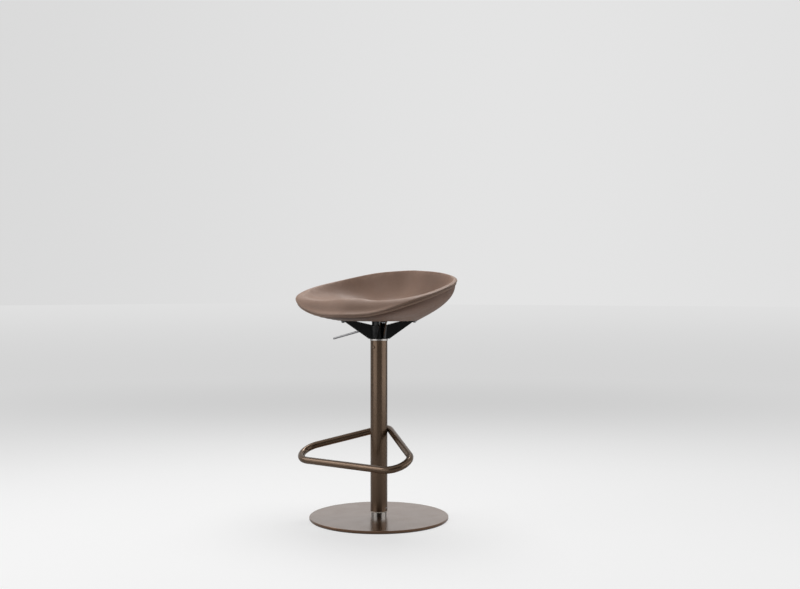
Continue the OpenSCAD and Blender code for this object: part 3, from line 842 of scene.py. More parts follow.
def push_out(piece: Piece, heights: Array) -> None:
    """Moves a ring skin's points out along its normals.

    Args:
        piece: The skin's piece.
        heights: How far, by ring and direction. Below 0 is inward.
    """
    mesh = piece.data
    normals, places = np.zeros(len(mesh.vertices) * 3), np.zeros(len(mesh.vertices) * 3)
    mesh.vertices.foreach_get("normal", normals)
    mesh.vertices.foreach_get("co", places)
    moved = places.reshape(-1, 3) + normals.reshape(-1, 3) * with_ends(heights)[:, None]
    mesh.vertices.foreach_set("co", moved.ravel())
    mesh.update()


def with_ends(values: Array) -> Array:
    """Values of a ring skin's points, with 0 for its two middle points."""
    return np.append(values.ravel(), (0.0, 0.0))


def set_mask(piece: Piece, name: str, values: Array) -> None:
    """Stores a value from 0 to 1 at each point of a ring skin, for its material to read."""
    layer = piece.data.attributes.new(name, "FLOAT", "POINT")
    layer.data.foreach_set("value", with_ends(values).astype(np.float32))


def smoothstep(share: Array) -> Array:
    """Eases a share from 0 to 1, flat at both ends."""
    held = np.clip(share, 0.0, 1.0)
    return held * held * (3.0 - 2.0 * held)


def swept_tube(path: Array, radii: Array, sides: int, closed: bool) -> tuple[Array, Faces]:
    """Sweeps a circle along a path without twisting it.

    Args:
        path: Points of the centreline.
        radii: Radius at each point.
        sides: Points of each circle.
        closed: Whether the path's end meets its start. An open tube gets a point at each end.

    Returns:
        Points and faces of the tube.
    """
    if closed:
        tangents = np.roll(path, -1, axis=0) - np.roll(path, 1, axis=0)
    else:
        tangents = np.gradient(path, axis=0)
    tangents /= np.linalg.norm(tangents, axis=1)[:, None]
    start = np.cross(tangents[0], (0.0, 0.0, 1.0))
    if np.linalg.norm(start) < NEARLY_UPRIGHT:
        start = np.cross(tangents[0], (1.0, 0.0, 0.0))
    side = [start / np.linalg.norm(start)]
    for tangent in tangents[1:]:
        turned = side[-1] - tangent * (side[-1] @ tangent)
        side.append(turned / np.linalg.norm(turned))
    side = np.array(side)
    over = np.cross(tangents, side)
    angles = np.linspace(0.0, 2.0 * math.pi, sides, endpoint=False)[None, :, None]
    circles = side[:, None] * np.cos(angles) + over[:, None] * np.sin(angles)
    points = (path[:, None] + radii[:, None, None] * circles).reshape(-1, 3)
    if not closed:
        points = np.vstack([points, path[0], path[-1]])
    return points, tube_faces(len(path), sides, closed)


# The bucket seat

@dataclass(frozen=True)
class SeatForm:
    """Outline of the seat by direction round the column.

    Rim, lip, crest, shell and cover follow the solids. The bowl's wall is steeper than theirs, with a shelf
    behind the front crest, and the front lip is filled out. Five values together are at the front, front
    corner, side, back corner and back. A power says how closely a change keeps to the front, or to the back.
    """

    underside: float = 0.642
    rim_reach: tuple[float, ...] = (0.223, 0.254, 0.276, 0.214, 0.182)
    rim_wave: float = 0.0058
    lip_rise: tuple[float, ...] = (0.0135, 0.031, 0.0955, 0.1385, 0.147)
    lip_wave: float = 0.0028
    band: float = 0.010
    front_band_cut_share: float = 0.6
    brim: float = 0.0065
    front_brim: float = 0.0415
    brim_end: float = math.radians(78)
    brim_run: float = math.radians(68)
    crest_inset: float = 0.012
    front_crest_inset: float = 0.045
    bowl_rise: float = 0.048
    bowl_power: float = 4.6
    wing_power: float = 3.4
    shelf_share: float = 0.7
    shelf_power: float = 2.2
    lip_inset: float = 0.0023
    front_lip_inset: float = 0.0173
    lip_power: int = 2
    lip_fill_share: float = 0.5
    fill_power: int = 6
    crest_power: int = 3
    cover_power: int = 4
    back_wave: float = 0.002
    back_power: int = 6
    seam_inset_share: float = 0.6
    cover_inset: float = 0.002
    front_cover_inset: float = 0.020
    cover_flat: float = 0.126
    cover_wall: float = 0.002
    shell_wall: float = 0.006
    shell_foot: float = 0.6506
    shell_flat: float = 0.123
    shell_rim_drop: float = 0.003
    shell_side_gap: float = 0.0012
    gap: float = 0.0003

    def around(self, values: tuple[float, ...], turn: Array) -> Array:
        """Passes smoothly through five values, at the front, corner, side, corner and back.

        Args:
            values: The five values.
            turn: Directions, in radians.

        Returns:
            The value in each direction.
        """
        front, front_corner, side, back_corner, back = values
        ends = (front + back) / 2
        tilt = (front - back) / 2
        corners = (front_corner + back_corner) / 2
        skew = (front_corner - back_corner) / 2 / math.cos(math.pi / 4)
        even = (ends + side) / 2
        return ((even + corners) / 2 + (tilt + skew) / 2 * np.cos(turn) + (ends - side) / 2 * np.cos(2 * turn)
                + (tilt - skew) / 2 * np.cos(3 * turn) + (even - corners) / 2 * np.cos(4 * turn))

    def front_share(self, turn: Array) -> Array:
        """1 at the front and 0 at the back."""
        return (1 + np.cos(turn)) / 2

    def rim(self, turn: Array) -> Array:
        """Reach of the rim."""
        return self.around(self.rim_reach, turn) + self.rim_wave * (np.cos(6 * turn) - np.cos(2 * turn))

    def lip_tuck(self, turn: Array) -> Array:
        """How far the lip's lower edge turns in under the front."""
        return self.front_lip_inset * self.front_share(turn) ** self.lip_power

    def lip_reach(self, turn: Array) -> Array:
        """Reach of the lip's lower edge, which the padding fills out at the front."""
        unfilled = 1 - self.lip_fill_share * self.front_share(turn) ** self.fill_power
        return self.rim(turn) - self.lip_inset - self.lip_tuck(turn) * unfilled

    def seam_reach(self, turn: Array) -> Array:
        """Reach of the seam round the lip."""
        return self.rim(turn) - self.seam_inset_share * (self.rim(turn) - self.lip_reach(turn))

    def lip(self, turn: Array) -> Array:
        """Height of the lip's lower edge."""
        return (self.underside + self.around(self.lip_rise, turn)
                + self.lip_wave * (np.cos(5 * turn) - np.cos(3 * turn)))

    def band_top(self, turn: Array) -> Array:
        """Height of the band's upper edge on the solids."""
        return self.lip(turn) + self.band

    def seam(self, turn: Array) -> Array:
        """Height of the seam round the lip, which sinks towards the lip's edge at the front."""
        cut = self.front_band_cut_share * self.front_share(turn) ** self.fill_power
        return self.lip(turn) + self.band * (1 - cut)

    def crest_height(self, turn: Array) -> Array:
        """Height of the crest round the bowl, raised over the thighs.

        Args:
            turn: Directions, in radians.

        Returns:
            The height in each direction.
        """
        aside = np.arccos(np.cos(turn))
        wave = self.back_wave * np.cos(6 * turn) * (1 - self.front_share(turn)) ** self.back_power
        rise = self.front_brim * smoothstep((self.brim_end - aside) / self.brim_run)
        return self.band_top(turn) + self.brim + rise + wave

    def crest_reach(self, turn: Array) -> Array:
        """Reach of the crest round the bowl."""
        front_inset = self.front_crest_inset * self.front_share(turn) ** self.crest_power
        return self.rim(turn) - self.crest_inset - front_inset

    def cover_reach(self, turn: Array) -> Array:
        """Reach of the under cover's upper edge, from the lip before it is filled out."""
        front_inset = self.front_cover_inset * self.front_share(turn) ** self.cover_power
        return self.rim(turn) - self.lip_inset - self.lip_tuck(turn) - self.cover_inset - front_inset

    def wall(self, flat: object, foot: float, edge: Array, top: Array, share: object) -> Ring:
        """Ring on a bowl's outer wall, at a share of its height.

        Args:
            flat: Reach of the flat floor.
            foot: Height of the flat floor.
            edge: Reach of the wall's edge.
            top: Height of the wall's edge.
            share: 0 at the floor and 1 at the edge.

        Returns:
            Reach and height in each direction.
        """
        return flat + (edge - flat) * (1 - (1 - share) ** 2), foot + (top - foot) * share

    def shell_rim(self, turn: Array) -> Array:
        """Height of the shell's rim."""
        return self.band_top(turn) - self.shell_rim_drop

    def shell(self, turn: Array, share: object, inset: float = 0.0) -> Ring:
        """Ring on the shell's outside, or on its inside with the shell's wall as inset."""
        reach = self.cover_reach(turn) - self.cover_wall - self.gap - inset
        return self.wall(self.shell_flat - inset, self.shell_foot + inset, reach, self.shell_rim(turn), share)

    def lip_share(self, turn: Array) -> Array:
        """Share of the shell's height at which the lip lies."""
        return (self.lip(turn) - self.shell_foot) / (self.shell_rim(turn) - self.shell_foot)


class RingSkin:
    """A closed skin of rings round the column, from a lower middle point to an upper one."""

    def __init__(self, turns: int) -> None:
        """Starts with no ring.

        Args:
            turns: Number of directions.
        """
        self.turn = np.linspace(0.0, 2.0 * math.pi, turns, endpoint=False)
        self.rings: list[Ring] = []
        self.marks: dict[str, int] = {}

    def add(self, reach: Array, height: Array) -> None:
        """Adds one ring outward or upward of the last."""
        self.rings.append((reach + 0 * self.turn, height + 0 * self.turn))

    def mark(self, name: str) -> None:
        """Names the last ring."""
        self.marks[name] = len(self.rings) - 1

    def arrays(self) -> Ring:
        """Reach and height as ring by direction arrays."""
        return np.array([r for r, _ in self.rings]), np.array([z for _, z in self.rings])

    def ease(self, first: int, last: int, passes: int, strength: float) -> None:
        """Rounds corners across the rings between two of them, which stay in place.

        Args:
            first: Number of the first ring held.
            last: Number of the last ring held.
            passes: How often to average.
            strength: Share of the way to the average.
        """
        reach, height = self.arrays()
        for _ in range(passes):
            for line in (reach, height):
                mean = (line[first:last - 1] + line[first + 2:last + 1]) / 2
                line[first + 1:last] += strength * (mean - line[first + 1:last])
        self.rings = list(zip(reach, height))

    def points(self) -> Array:
        """Places of all ring points, ring by ring."""
        reach, height = self.arrays()
        return np.stack([reach * np.sin(self.turn), -reach * np.cos(self.turn), height], axis=-1)

    def build(self, name: str, foot: float, top: float) -> Piece:
        """Makes the closed mesh.

        Args:
            name: Name of the piece.
            foot: Height of the lower middle point.
            top: Height of the upper middle point.

        Returns:
            The piece.
        """
        points = np.vstack([self.points().reshape(-1, 3), (0.0, 0.0, foot), (0.0, 0.0, top)])
        return mesh_object(name, points, tube_faces(len(self.rings), len(self.turn), closed=False))


def spline_through(points: Array, shares: Array) -> Array:
    """Smooth curve through points.

    Args:
        points: The points, one a row.
        shares: Shares of the way from the first to the last.

    Returns:
        The curve's points at those shares.
    """
    padded = np.vstack([2 * points[0] - points[1], points, 2 * points[-1] - points[-2]])
    place = np.clip(shares, 0.0, 1.0) * (len(points) - 1)
    cell = np.minimum(place.astype(int), len(points) - 2)
    t = (place - cell)[:, None]
    a, b, c, d = (padded[cell + k] for k in range(4))
    return 0.5 * (2 * b + (c - a) * t + (2 * a - 5 * b + 4 * c - d) * t ** 2
                  + (3 * b - a - 3 * c + d) * t ** 3)


@dataclass(frozen=True)
class Stitch:
    """One stitch: a short thread that dives into the leather at both ends."""

    pitch: float = 0.0075
    length: float = 0.0054
    radius: float = 0.00042
    rise_share: float = 0.75
    dive_share: float = 1.6
    girth_shares: tuple[float, ...] = (0.35, 0.8, 1.0, 1.05, 1.0, 0.8, 0.35)
    sides: int = 6

    def sew(self, place: Array, along: Array, out: Array, sink: float) -> tuple[Array, Faces]:
        """Shapes the stitch at one place.

        Args:
            place: Its middle on the leather.
            along: Direction of the seam.
            out: Outward normal.
            sink: How deep the stitch line is pressed into the leather.

        Returns:
            Points and faces of the stitch.
        """
        shares = np.linspace(-1.0, 1.0, len(self.girth_shares))[:, None]
        height = self.radius * (self.rise_share - self.dive_share * shares ** 4) - sink
        path = place + along * (shares * self.length / 2) + out * height
        return swept_tube(path, self.radius * np.array(self.girth_shares), self.sides, closed=False)


@dataclass
class SeatPad:
    """The padded leather pad: bowl, rolled brim, stitched band and the edge turned under the lip.

    A run of rings is given by its first share, its last share and the number of rings. The brim's curves pass
    through shares of the way inward and upward from the seam to the crest. The lip's angles are degrees.
    """

    form: SeatForm
    turns: int = 360
    groove_depth: float = 0.0011
    groove_half: float = 0.0013
    stitch: Stitch = Stitch()
    stitch_offset: float = 0.0036
    stitch_sink_share: float = 0.35
    inside_run: Run = (0.0, 1.0, 9)
    outside_run: Run = (0.25, 1.0, 4)
    lip_shares: tuple[float, ...] = (0.3, 0.6, 0.85, 0.95)
    lip_round: float = 0.002
    lip_round_angles: tuple[float, ...] = (0.0, 30.0, 60.0)
    band_bulge: float = 0.0009
    band_run: Run = (0.06, 1.0, 13)
    brim_runs: tuple[Run, ...] = ((0.03, 0.2, 6), (0.235, 1.0, 26))
    front_weight_share: float = 0.66
    front_weight_run: float = 0.27
    bowl_runs: tuple[Run, ...] = ((0.012, 0.12, 8), (0.145, 0.97, 36))
    round_from_seam: int = 6
    round_past_crest: int = 14
    round_passes: int = 7
    round_strength: float = 0.5
    rub_and_highlight_half: float = 0.012
    front_brim_shares: tuple[Pair, ...] = (
        (0.0, 0.0), (0.007, 0.052), (0.035, 0.1), (0.1, 0.15), (0.19, 0.2), (0.28, 0.28), (0.35, 0.37),
        (0.405, 0.47), (0.46, 0.56), (0.535, 0.66), (0.64, 0.78), (0.78, 0.89), (0.89, 0.96), (1.0, 1.0))
    side_brim_shares: tuple[Pair, ...] = (
        (0.0, 0.0), (-0.14, 0.2), (-0.22, 0.4), (-0.22, 0.57), (-0.14, 0.72), (0.0, 0.83), (0.17, 0.9),
        (0.36, 0.95), (0.56, 0.98), (0.78, 1.0), (1.0, 1.0))
    skin: RingSkin = field(init=False)

    def __post_init__(self) -> None:
        """Lays out the rings."""
        self.skin = RingSkin(self.turns)
        self.lay_inside()
        self.lay_band()
        self.lay_brim()
        self.lay_bowl()
        self.round_corners()

    def lay_inside(self) -> None:
        """Rings against the shell: up its inside, over its rim and down its outside."""
        form, skin = self.form, self.skin
        for share in np.linspace(*self.inside_run):
            reach, height = form.shell(skin.turn, share, form.shell_wall)
            skin.add(reach - form.gap, height + form.gap)
        reach, height = form.shell(skin.turn, 1.0)
        skin.add(reach + form.shell_side_gap, height + form.gap)
        lip_share = form.lip_share(skin.turn)
        for share in np.linspace(*self.outside_run):
            reach, height = form.shell(skin.turn, 1 - (1 - lip_share) * share)
            skin.add(reach + form.shell_side_gap, height - form.gap / 2)

    def lay_band(self) -> None:
        """Rings out along the lip's underside and up the band to its seam."""
        form, skin = self.form, self.skin
        tuck_reach, tuck_height = skin.rings[-1]
        lip_reach = form.lip_reach(skin.turn)
        lip = form.lip(skin.turn)
        for share in self.lip_shares:
            skin.add(tuck_reach + (lip_reach - self.lip_round - tuck_reach) * share,
                     tuck_height + (lip - tuck_height) * share)
        for angle in np.radians(self.lip_round_angles):
            skin.add(lip_reach - self.lip_round * (1 - math.sin(angle)),
                     lip + self.lip_round * (1 - math.cos(angle)))
        seam_reach = form.seam_reach(skin.turn)
        band = form.seam(skin.turn) - lip
        start = self.lip_round / band
        for step in np.linspace(*self.band_run):
            share = start + (1 - start) * step
            bulge = self.band_bulge * np.sin(math.pi * share)
            skin.add(lip_reach + (seam_reach - lip_reach) * share + bulge, lip + band * share)
        skin.mark("seam")

    def lay_brim(self) -> None:
        """Rings from the seam over the brim's roll to the crest."""
        form, skin = self.form, self.skin
        seam_reach, seam_height = skin.rings[-1]
        crest_reach = form.crest_reach(skin.turn)
        crest_height = form.crest_height(skin.turn)
        shares = np.concatenate([np.linspace(*run) for run in self.brim_runs])
        front = spline_through(np.array(self.front_brim_shares), shares)
        side = spline_through(np.array(self.side_brim_shares), shares)
        weight = smoothstep((form.front_share(skin.turn) - self.front_weight_share) / self.front_weight_run)
        for (front_in, front_up), (side_in, side_up) in zip(front, side):
            inward = side_in + (front_in - side_in) * weight
            upward = side_up + (front_up - side_up) * weight
            skin.add(seam_reach + (crest_reach - seam_reach) * inward,
                     seam_height + (crest_height - seam_height) * upward)
        skin.mark("crest")

    def lay_bowl(self) -> None:
        """Rings from the crest down into the bowl."""
        form, skin = self.form, self.skin
        crest_reach, crest_height = skin.rings[-1]
        weight = form.front_share(skin.turn) ** form.shelf_power
        floor = form.underside + form.bowl_rise
        power = form.bowl_power + form.wing_power * np.sin(skin.turn) ** 2
        for share in 1 - np.concatenate([np.linspace(*run) for run in self.bowl_runs]):
            rise = weight * smoothstep(share / form.shelf_share) + (1 - weight) * share ** power
            skin.add(crest_reach * share, floor + (crest_height - floor) * rise)

    def round_corners(self) -> None:
        """Rounds the brim and the crest's edge."""
        first = self.skin.marks["seam"] + self.round_from_seam
        last = self.skin.marks["crest"] + self.round_past_crest
        self.skin.ease(first, last, self.round_passes, self.round_strength)

    def across(self) -> Array:
        """Measures the skin across the seam.

        Returns:
            Distance of each ring from the seam's ring along the skin, by direction, negative below it.
        """
        grid = self.skin.points()
        steps = np.linalg.norm(np.diff(grid, axis=0), axis=2)
        run = np.vstack([np.zeros(self.turns), np.cumsum(steps, axis=0)])
        return run - run[self.skin.marks["seam"]]

    def build(self) -> Piece:
        """Makes the pad with its seam pressed in.

        Returns:
            The pad.
        """
        form = self.form
        pad = self.skin.build("seat_pad_leather", form.shell_foot + form.shell_wall + form.gap,
                              form.underside + form.bowl_rise)
        across = self.across()
        groove = np.exp(-(across / self.groove_half) ** 2)
        for offset in (-self.stitch_offset, self.stitch_offset):
            groove += self.stitch_sink_share * np.exp(-((across - offset) / self.groove_half) ** 2)
        push_out(pad, -self.groove_depth * groove)
        crest_run = across[self.skin.marks["crest"]]
        # Rub mask along the crest: its wear and a painted highlight.
        set_mask(pad, "rub_and_highlight", np.exp(-((across - crest_run) / self.rub_and_highlight_half) ** 2))
        set_mask(pad, "seam", np.clip(groove, 0, 1))
        dress(pad, SEAT_LEATHER)
        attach(pad, "column")
        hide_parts("seat_pad")
        return pad

    def seam_line(self, offset: float) -> tuple[Array, Array]:
        """Line round the seat beside the seam.

        Args:
            offset: Distance above the seam along the skin.

        Returns:
            Its points and the skin's outward normals there.
        """
        across = self.across()
        grid = self.skin.points()
        places, normals = [], []
        for k in range(self.turns):
            row = int(np.searchsorted(across[:, k], offset))
            share = (offset - across[row - 1, k]) / (across[row, k] - across[row - 1, k])
            places.append(grid[row - 1, k] + share * (grid[row, k] - grid[row - 1, k]))
            up = grid[row + 1, k] - grid[row - 2, k]
            along = grid[row, (k + 1) % self.turns] - grid[row, k - 1]
            normal = np.cross(along, up)
            normals.append(normal / np.linalg.norm(normal))
        return np.array(places), np.array(normals)

    def build_stitches(self) -> Piece:
        """Sews the two rows of stitches beside the seam.

        Returns:
            The stitches as one piece.
        """
        sink = self.groove_depth * self.stitch_sink_share
        points, faces = [], []
        for offset in (-self.stitch_offset, self.stitch_offset):
            line, normals = self.seam_line(offset)
            for place, along, out in spaced(line, normals, self.stitch.pitch):
                got, made = self.stitch.sew(place, along, out, sink)
                faces += [tuple(corner + len(points) for corner in face) for face in made]
                points += list(got)
        sewn = mesh_object("seat_pad_stitches", np.array(points), faces)
        dress(sewn, SEAT_THREAD)
        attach(sewn, "column")
        return sewn


def spaced(line: Array, normals: Array, pitch: float) -> list[tuple[Array, ...]]:
    """Spreads places evenly round a closed line.

    Args:
        line: Points of the line.
        normals: Outward normal at each point.
        pitch: Wanted distance between places.

    Returns:
        Place, direction along the line and outward normal of each.
    """
    closed = np.vstack([line, line[:1]])
    outs = np.vstack([normals, normals[:1]])
    run = np.append(0.0, np.cumsum(np.linalg.norm(np.diff(closed, axis=0), axis=1)))
    count = round(run[-1] / pitch)
    found = []
    for k in range(count):
        at = run[-1] * (k + 0.5) / count
        cell = int(np.searchsorted(run, at)) - 1
        share = (at - run[cell]) / (run[cell + 1] - run[cell])
        along = closed[cell + 1] - closed[cell]
        found.append((closed[cell] + share * along, along / np.linalg.norm(along), outs[cell]))
    return found


@dataclass
class UnderCover:
    """The leather cover under the shell, with a sewn dart at each corner, its turn in degrees, and painted
    shade under the seat's lip at the front.
    """

    form: SeatForm
    turns: int = 288
    floor_middle: float = 0.02
    floor_rings: int = 7
    wall_start_share: float = 0.02
    wall_rings: int = 40
    inner_rings: int = 13
    dart_turns: tuple[float, ...] = (47.0, -47.0, 133.0, -133.0)
    dart_spread: float = 0.017
    dart_height: float = 0.0011
    dart_half: float = 0.0011
    dart_end_share: float = 0.04
    dart_shade_share: float = 0.3
    # Painted shade under the seat's lip: how far down the cover it reaches, and how closely it keeps to the
    # front.
    lip_shade_run: float = 0.015
    lip_shade_power: int = 2

    def build(self) -> Piece:
        """Makes the cover as a closed skin with raised dart seams and painted shade under the lip.

        Returns:
            The cover.
        """
        form = self.form
        skin = RingSkin(self.turns)
        edge = form.cover_reach(skin.turn)
        top = form.lip(skin.turn) - form.gap
        for reach in np.linspace(self.floor_middle, form.cover_flat, self.floor_rings):
            skin.add(reach, form.underside)
        first = len(skin.rings)
        for share in np.linspace(self.wall_start_share, 1.0, self.wall_rings):
            skin.add(*form.wall(form.cover_flat, form.underside, edge, top, share))
        last = len(skin.rings)
        for share in np.linspace(1.0, 0.0, self.inner_rings):
            reach, height = form.wall(form.cover_flat - form.cover_wall, form.underside + form.cover_wall,
                                      edge - form.cover_wall, top, share)
            skin.add(reach, height)
        cover = skin.build("seat_under_cover", form.underside, form.underside + form.cover_wall)
        seam = self.dart_seams(skin, first, last)
        push_out(cover, seam * self.dart_height)
        # Painted shade just under the seat's lip, strongest at the front, kept in the seam mask with the
        # darts.
        _, height = skin.arrays()
        front = form.front_share(skin.turn) ** self.lip_shade_power
        painted_lip_shade = front * np.exp(-((top - height) / self.lip_shade_run) ** 2)
        set_mask(cover, "seam", np.maximum(seam * self.dart_shade_share, painted_lip_shade))
        set_mask(cover, "rub_and_highlight", np.zeros(seam.shape))
        dress(cover, UNDER_LEATHER)
        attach(cover, "column")
        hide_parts("seat_cover")
        return cover

    def dart_seams(self, skin: RingSkin, first: int, last: int) -> Array:
        """How strongly each ring point belongs to a dart's seam.

        Args:
            skin: The cover's rings.
            first: First ring of the outer wall.
            last: Ring after the last of the outer wall.

        Returns:
            A share from 0 to 1 by ring and direction.
        """
        reach, _ = skin.arrays()
        found = np.zeros(reach.shape)
        down = np.zeros(reach.shape[0])
        down[first:last] = np.linspace(1.0, 0.0, last - first)
        for middle in np.radians(self.dart_turns):
            aside = (skin.turn - middle + math.pi) % (2 * math.pi) - math.pi
            away = reach * aside
            for side in (-1.0, 1.0):
                leg = away - side * self.dart_spread * down[:, None]
                found = np.maximum(found, np.exp(-(leg / self.dart_half) ** 2))
        return found * (down > self.dart_end_share)[:, None]


# The footrest

@dataclass
class Footrest:
    """The bent tube loop and the bead that welds it to the sleeve."""

    tube_r: float = 0.011
    reach: float = 0.177
    bar_half: float = 0.152
    corner_r: float = 0.054
    back_r: float = 0.038
    height: float = 0.1965
    tilt: float = math.radians(23.0)
    sleeve_r: float = 0.0275
    touch_gap: float = 0.0001
    arc_step: float = math.radians(3.0)
    straight_step: float = 0.012
    sides: int = 48
    bead_r: float = 0.0021
    bead_half_turn: float = math.radians(33.0)
    bead_rise: float = 0.0064
    bead_lift: float = 0.0002
    bead_ripples: int = 68
    ripple_steps: int = 3
    ripple_share: float = 0.13
    bead_sides: int = 12

    def plane_l(self) -> float:
        """Length of the loop in its own sloping plane, to the centreline behind the column."""
        return (self.reach + self.sleeve_r + self.tube_r + self.touch_gap) / math.cos(self.tilt)

    def bend(self, middle: Array, radius: float, first: float, last: float) -> Array:
        """Lays one bend in the loop's plane.

        Args:
            middle: Middle of the bend.
            radius: Its radius.
            first: Angle at which it starts.
            last: Angle at which it ends.

        Returns:
            Its points, in even steps.
        """
        steps = max(2, math.ceil(abs(first - last) / self.arc_step))
        angles = np.linspace(first, last, steps + 1)
        return middle + radius * np.stack([np.cos(angles), np.sin(angles)], axis=1)

    def loop_points(self) -> Array:
        """Lays the closed loop, from behind the column round one side and back by the other.

        Returns:
            Points of its centreline.
        """
        back = np.array((0.0, self.plane_l() - self.back_r))
        corner = np.array((self.bar_half, self.corner_r))
        line = back - corner
        turn = math.atan2(line[1], line[0]) - math.acos((self.corner_r - self.back_r) / np.linalg.norm(line))
        half = np.vstack([self.bend(back, self.back_r, math.pi / 2, turn),
                          self.bend(corner, self.corner_r, turn, -math.pi / 2)])
        other = half[::-1] * (-1.0, 1.0)
        bends = np.vstack([half, other[:-1]])
        filled = []
        for a, b in zip(bends, np.roll(bends, -1, axis=0)):
            pieces = max(1, round(np.linalg.norm(b - a) / self.straight_step))
            filled += [a + (b - a) * k / pieces for k in range(pieces)]
        flat = np.array(filled)
        return np.stack([flat[:, 0], -self.reach + flat[:, 1] * math.cos(self.tilt),
                         self.height + flat[:, 1] * math.sin(self.tilt)], axis=1)

    def build_loop(self) -> Piece:
        """Makes the painted tube.

        Returns:
            The loop.
        """
        path = self.loop_points()
        points, faces = swept_tube(path, np.full(len(path), self.tube_r), self.sides, closed=True)
        loop = mesh_object("footrest_tube", points, faces)
        dress(loop, BRONZE_PAINT)
        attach(loop, "column")
        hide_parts("footrest_loop")
        return loop

    def build_weld(self) -> Piece:
        """Makes the rippled bead round the joint behind the column.

        Returns:
            The weld.
        """
        centre_y = -self.reach + math.cos(self.tilt) * (self.plane_l() - self.back_r)
        base_z = self.height + math.sin(self.tilt) * (centre_y + self.reach) / math.cos(self.tilt)
        path, radii = [], []
        count = self.bead_ripples * self.ripple_steps
        for k in range(count):
            theta = 2 * math.pi * k / count
            side = self.bead_half_turn * math.cos(theta)
            reach_x = self.back_r * math.sin(side)
            reach_y = centre_y + self.back_r * math.cos(side) * math.cos(self.tilt)
            level = base_z + self.back_r * math.cos(side) * math.sin(self.tilt)
            lift = self.bead_rise * math.sin(theta)
            bearing = math.atan2(reach_x, reach_y)
            inner = math.hypot(reach_x, reach_y) - math.sqrt(self.tube_r ** 2 - lift ** 2)
            out = (self.sleeve_r + max(inner, self.sleeve_r)) / 2 + self.bead_lift
            path.append((out * math.sin(bearing), out * math.cos(bearing), level + lift))
            ripple = math.sin(2 * math.pi * k / self.ripple_steps)
            radii.append(self.bead_r * (1 + self.ripple_share * ripple))
        points, faces = swept_tube(np.array(path), np.array(radii), self.bead_sides, closed=True)
        weld = mesh_object("footrest_weld_bead", points, faces)
        dress(weld, BRONZE_PAINT)
        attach(weld, "column")
        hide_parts("footrest_weld")
        return weld


# The metalwork

class Metalwork:
    """Everything that keeps its solid's shape and only takes a finish."""

    def __init__(self, packed: dict) -> None:
        """Takes the loaded frame."""
        self.nodes = packed["nodes"]
        self.slots = {s["node"]: s["material_slot"] for s in packed["record"]["subparts"]}

    def dress_all(self) -> None:
        """Lays each node's finish by its material slot."""
        for name, piece in self.nodes.items():
            dress(piece, NODE_FINISHES.get(name, SLOT_FINISHES[self.slots[name]]))
            LOG.info("dressed %s as %s", name, self.slots[name])


# The studio

@dataclass(frozen=True)
class Softbox:
    """A rectangular light that faces a point, with its power in watts."""

    name: str
    place: Triple
    target: Triple
    width: float
    height: float
    power: float


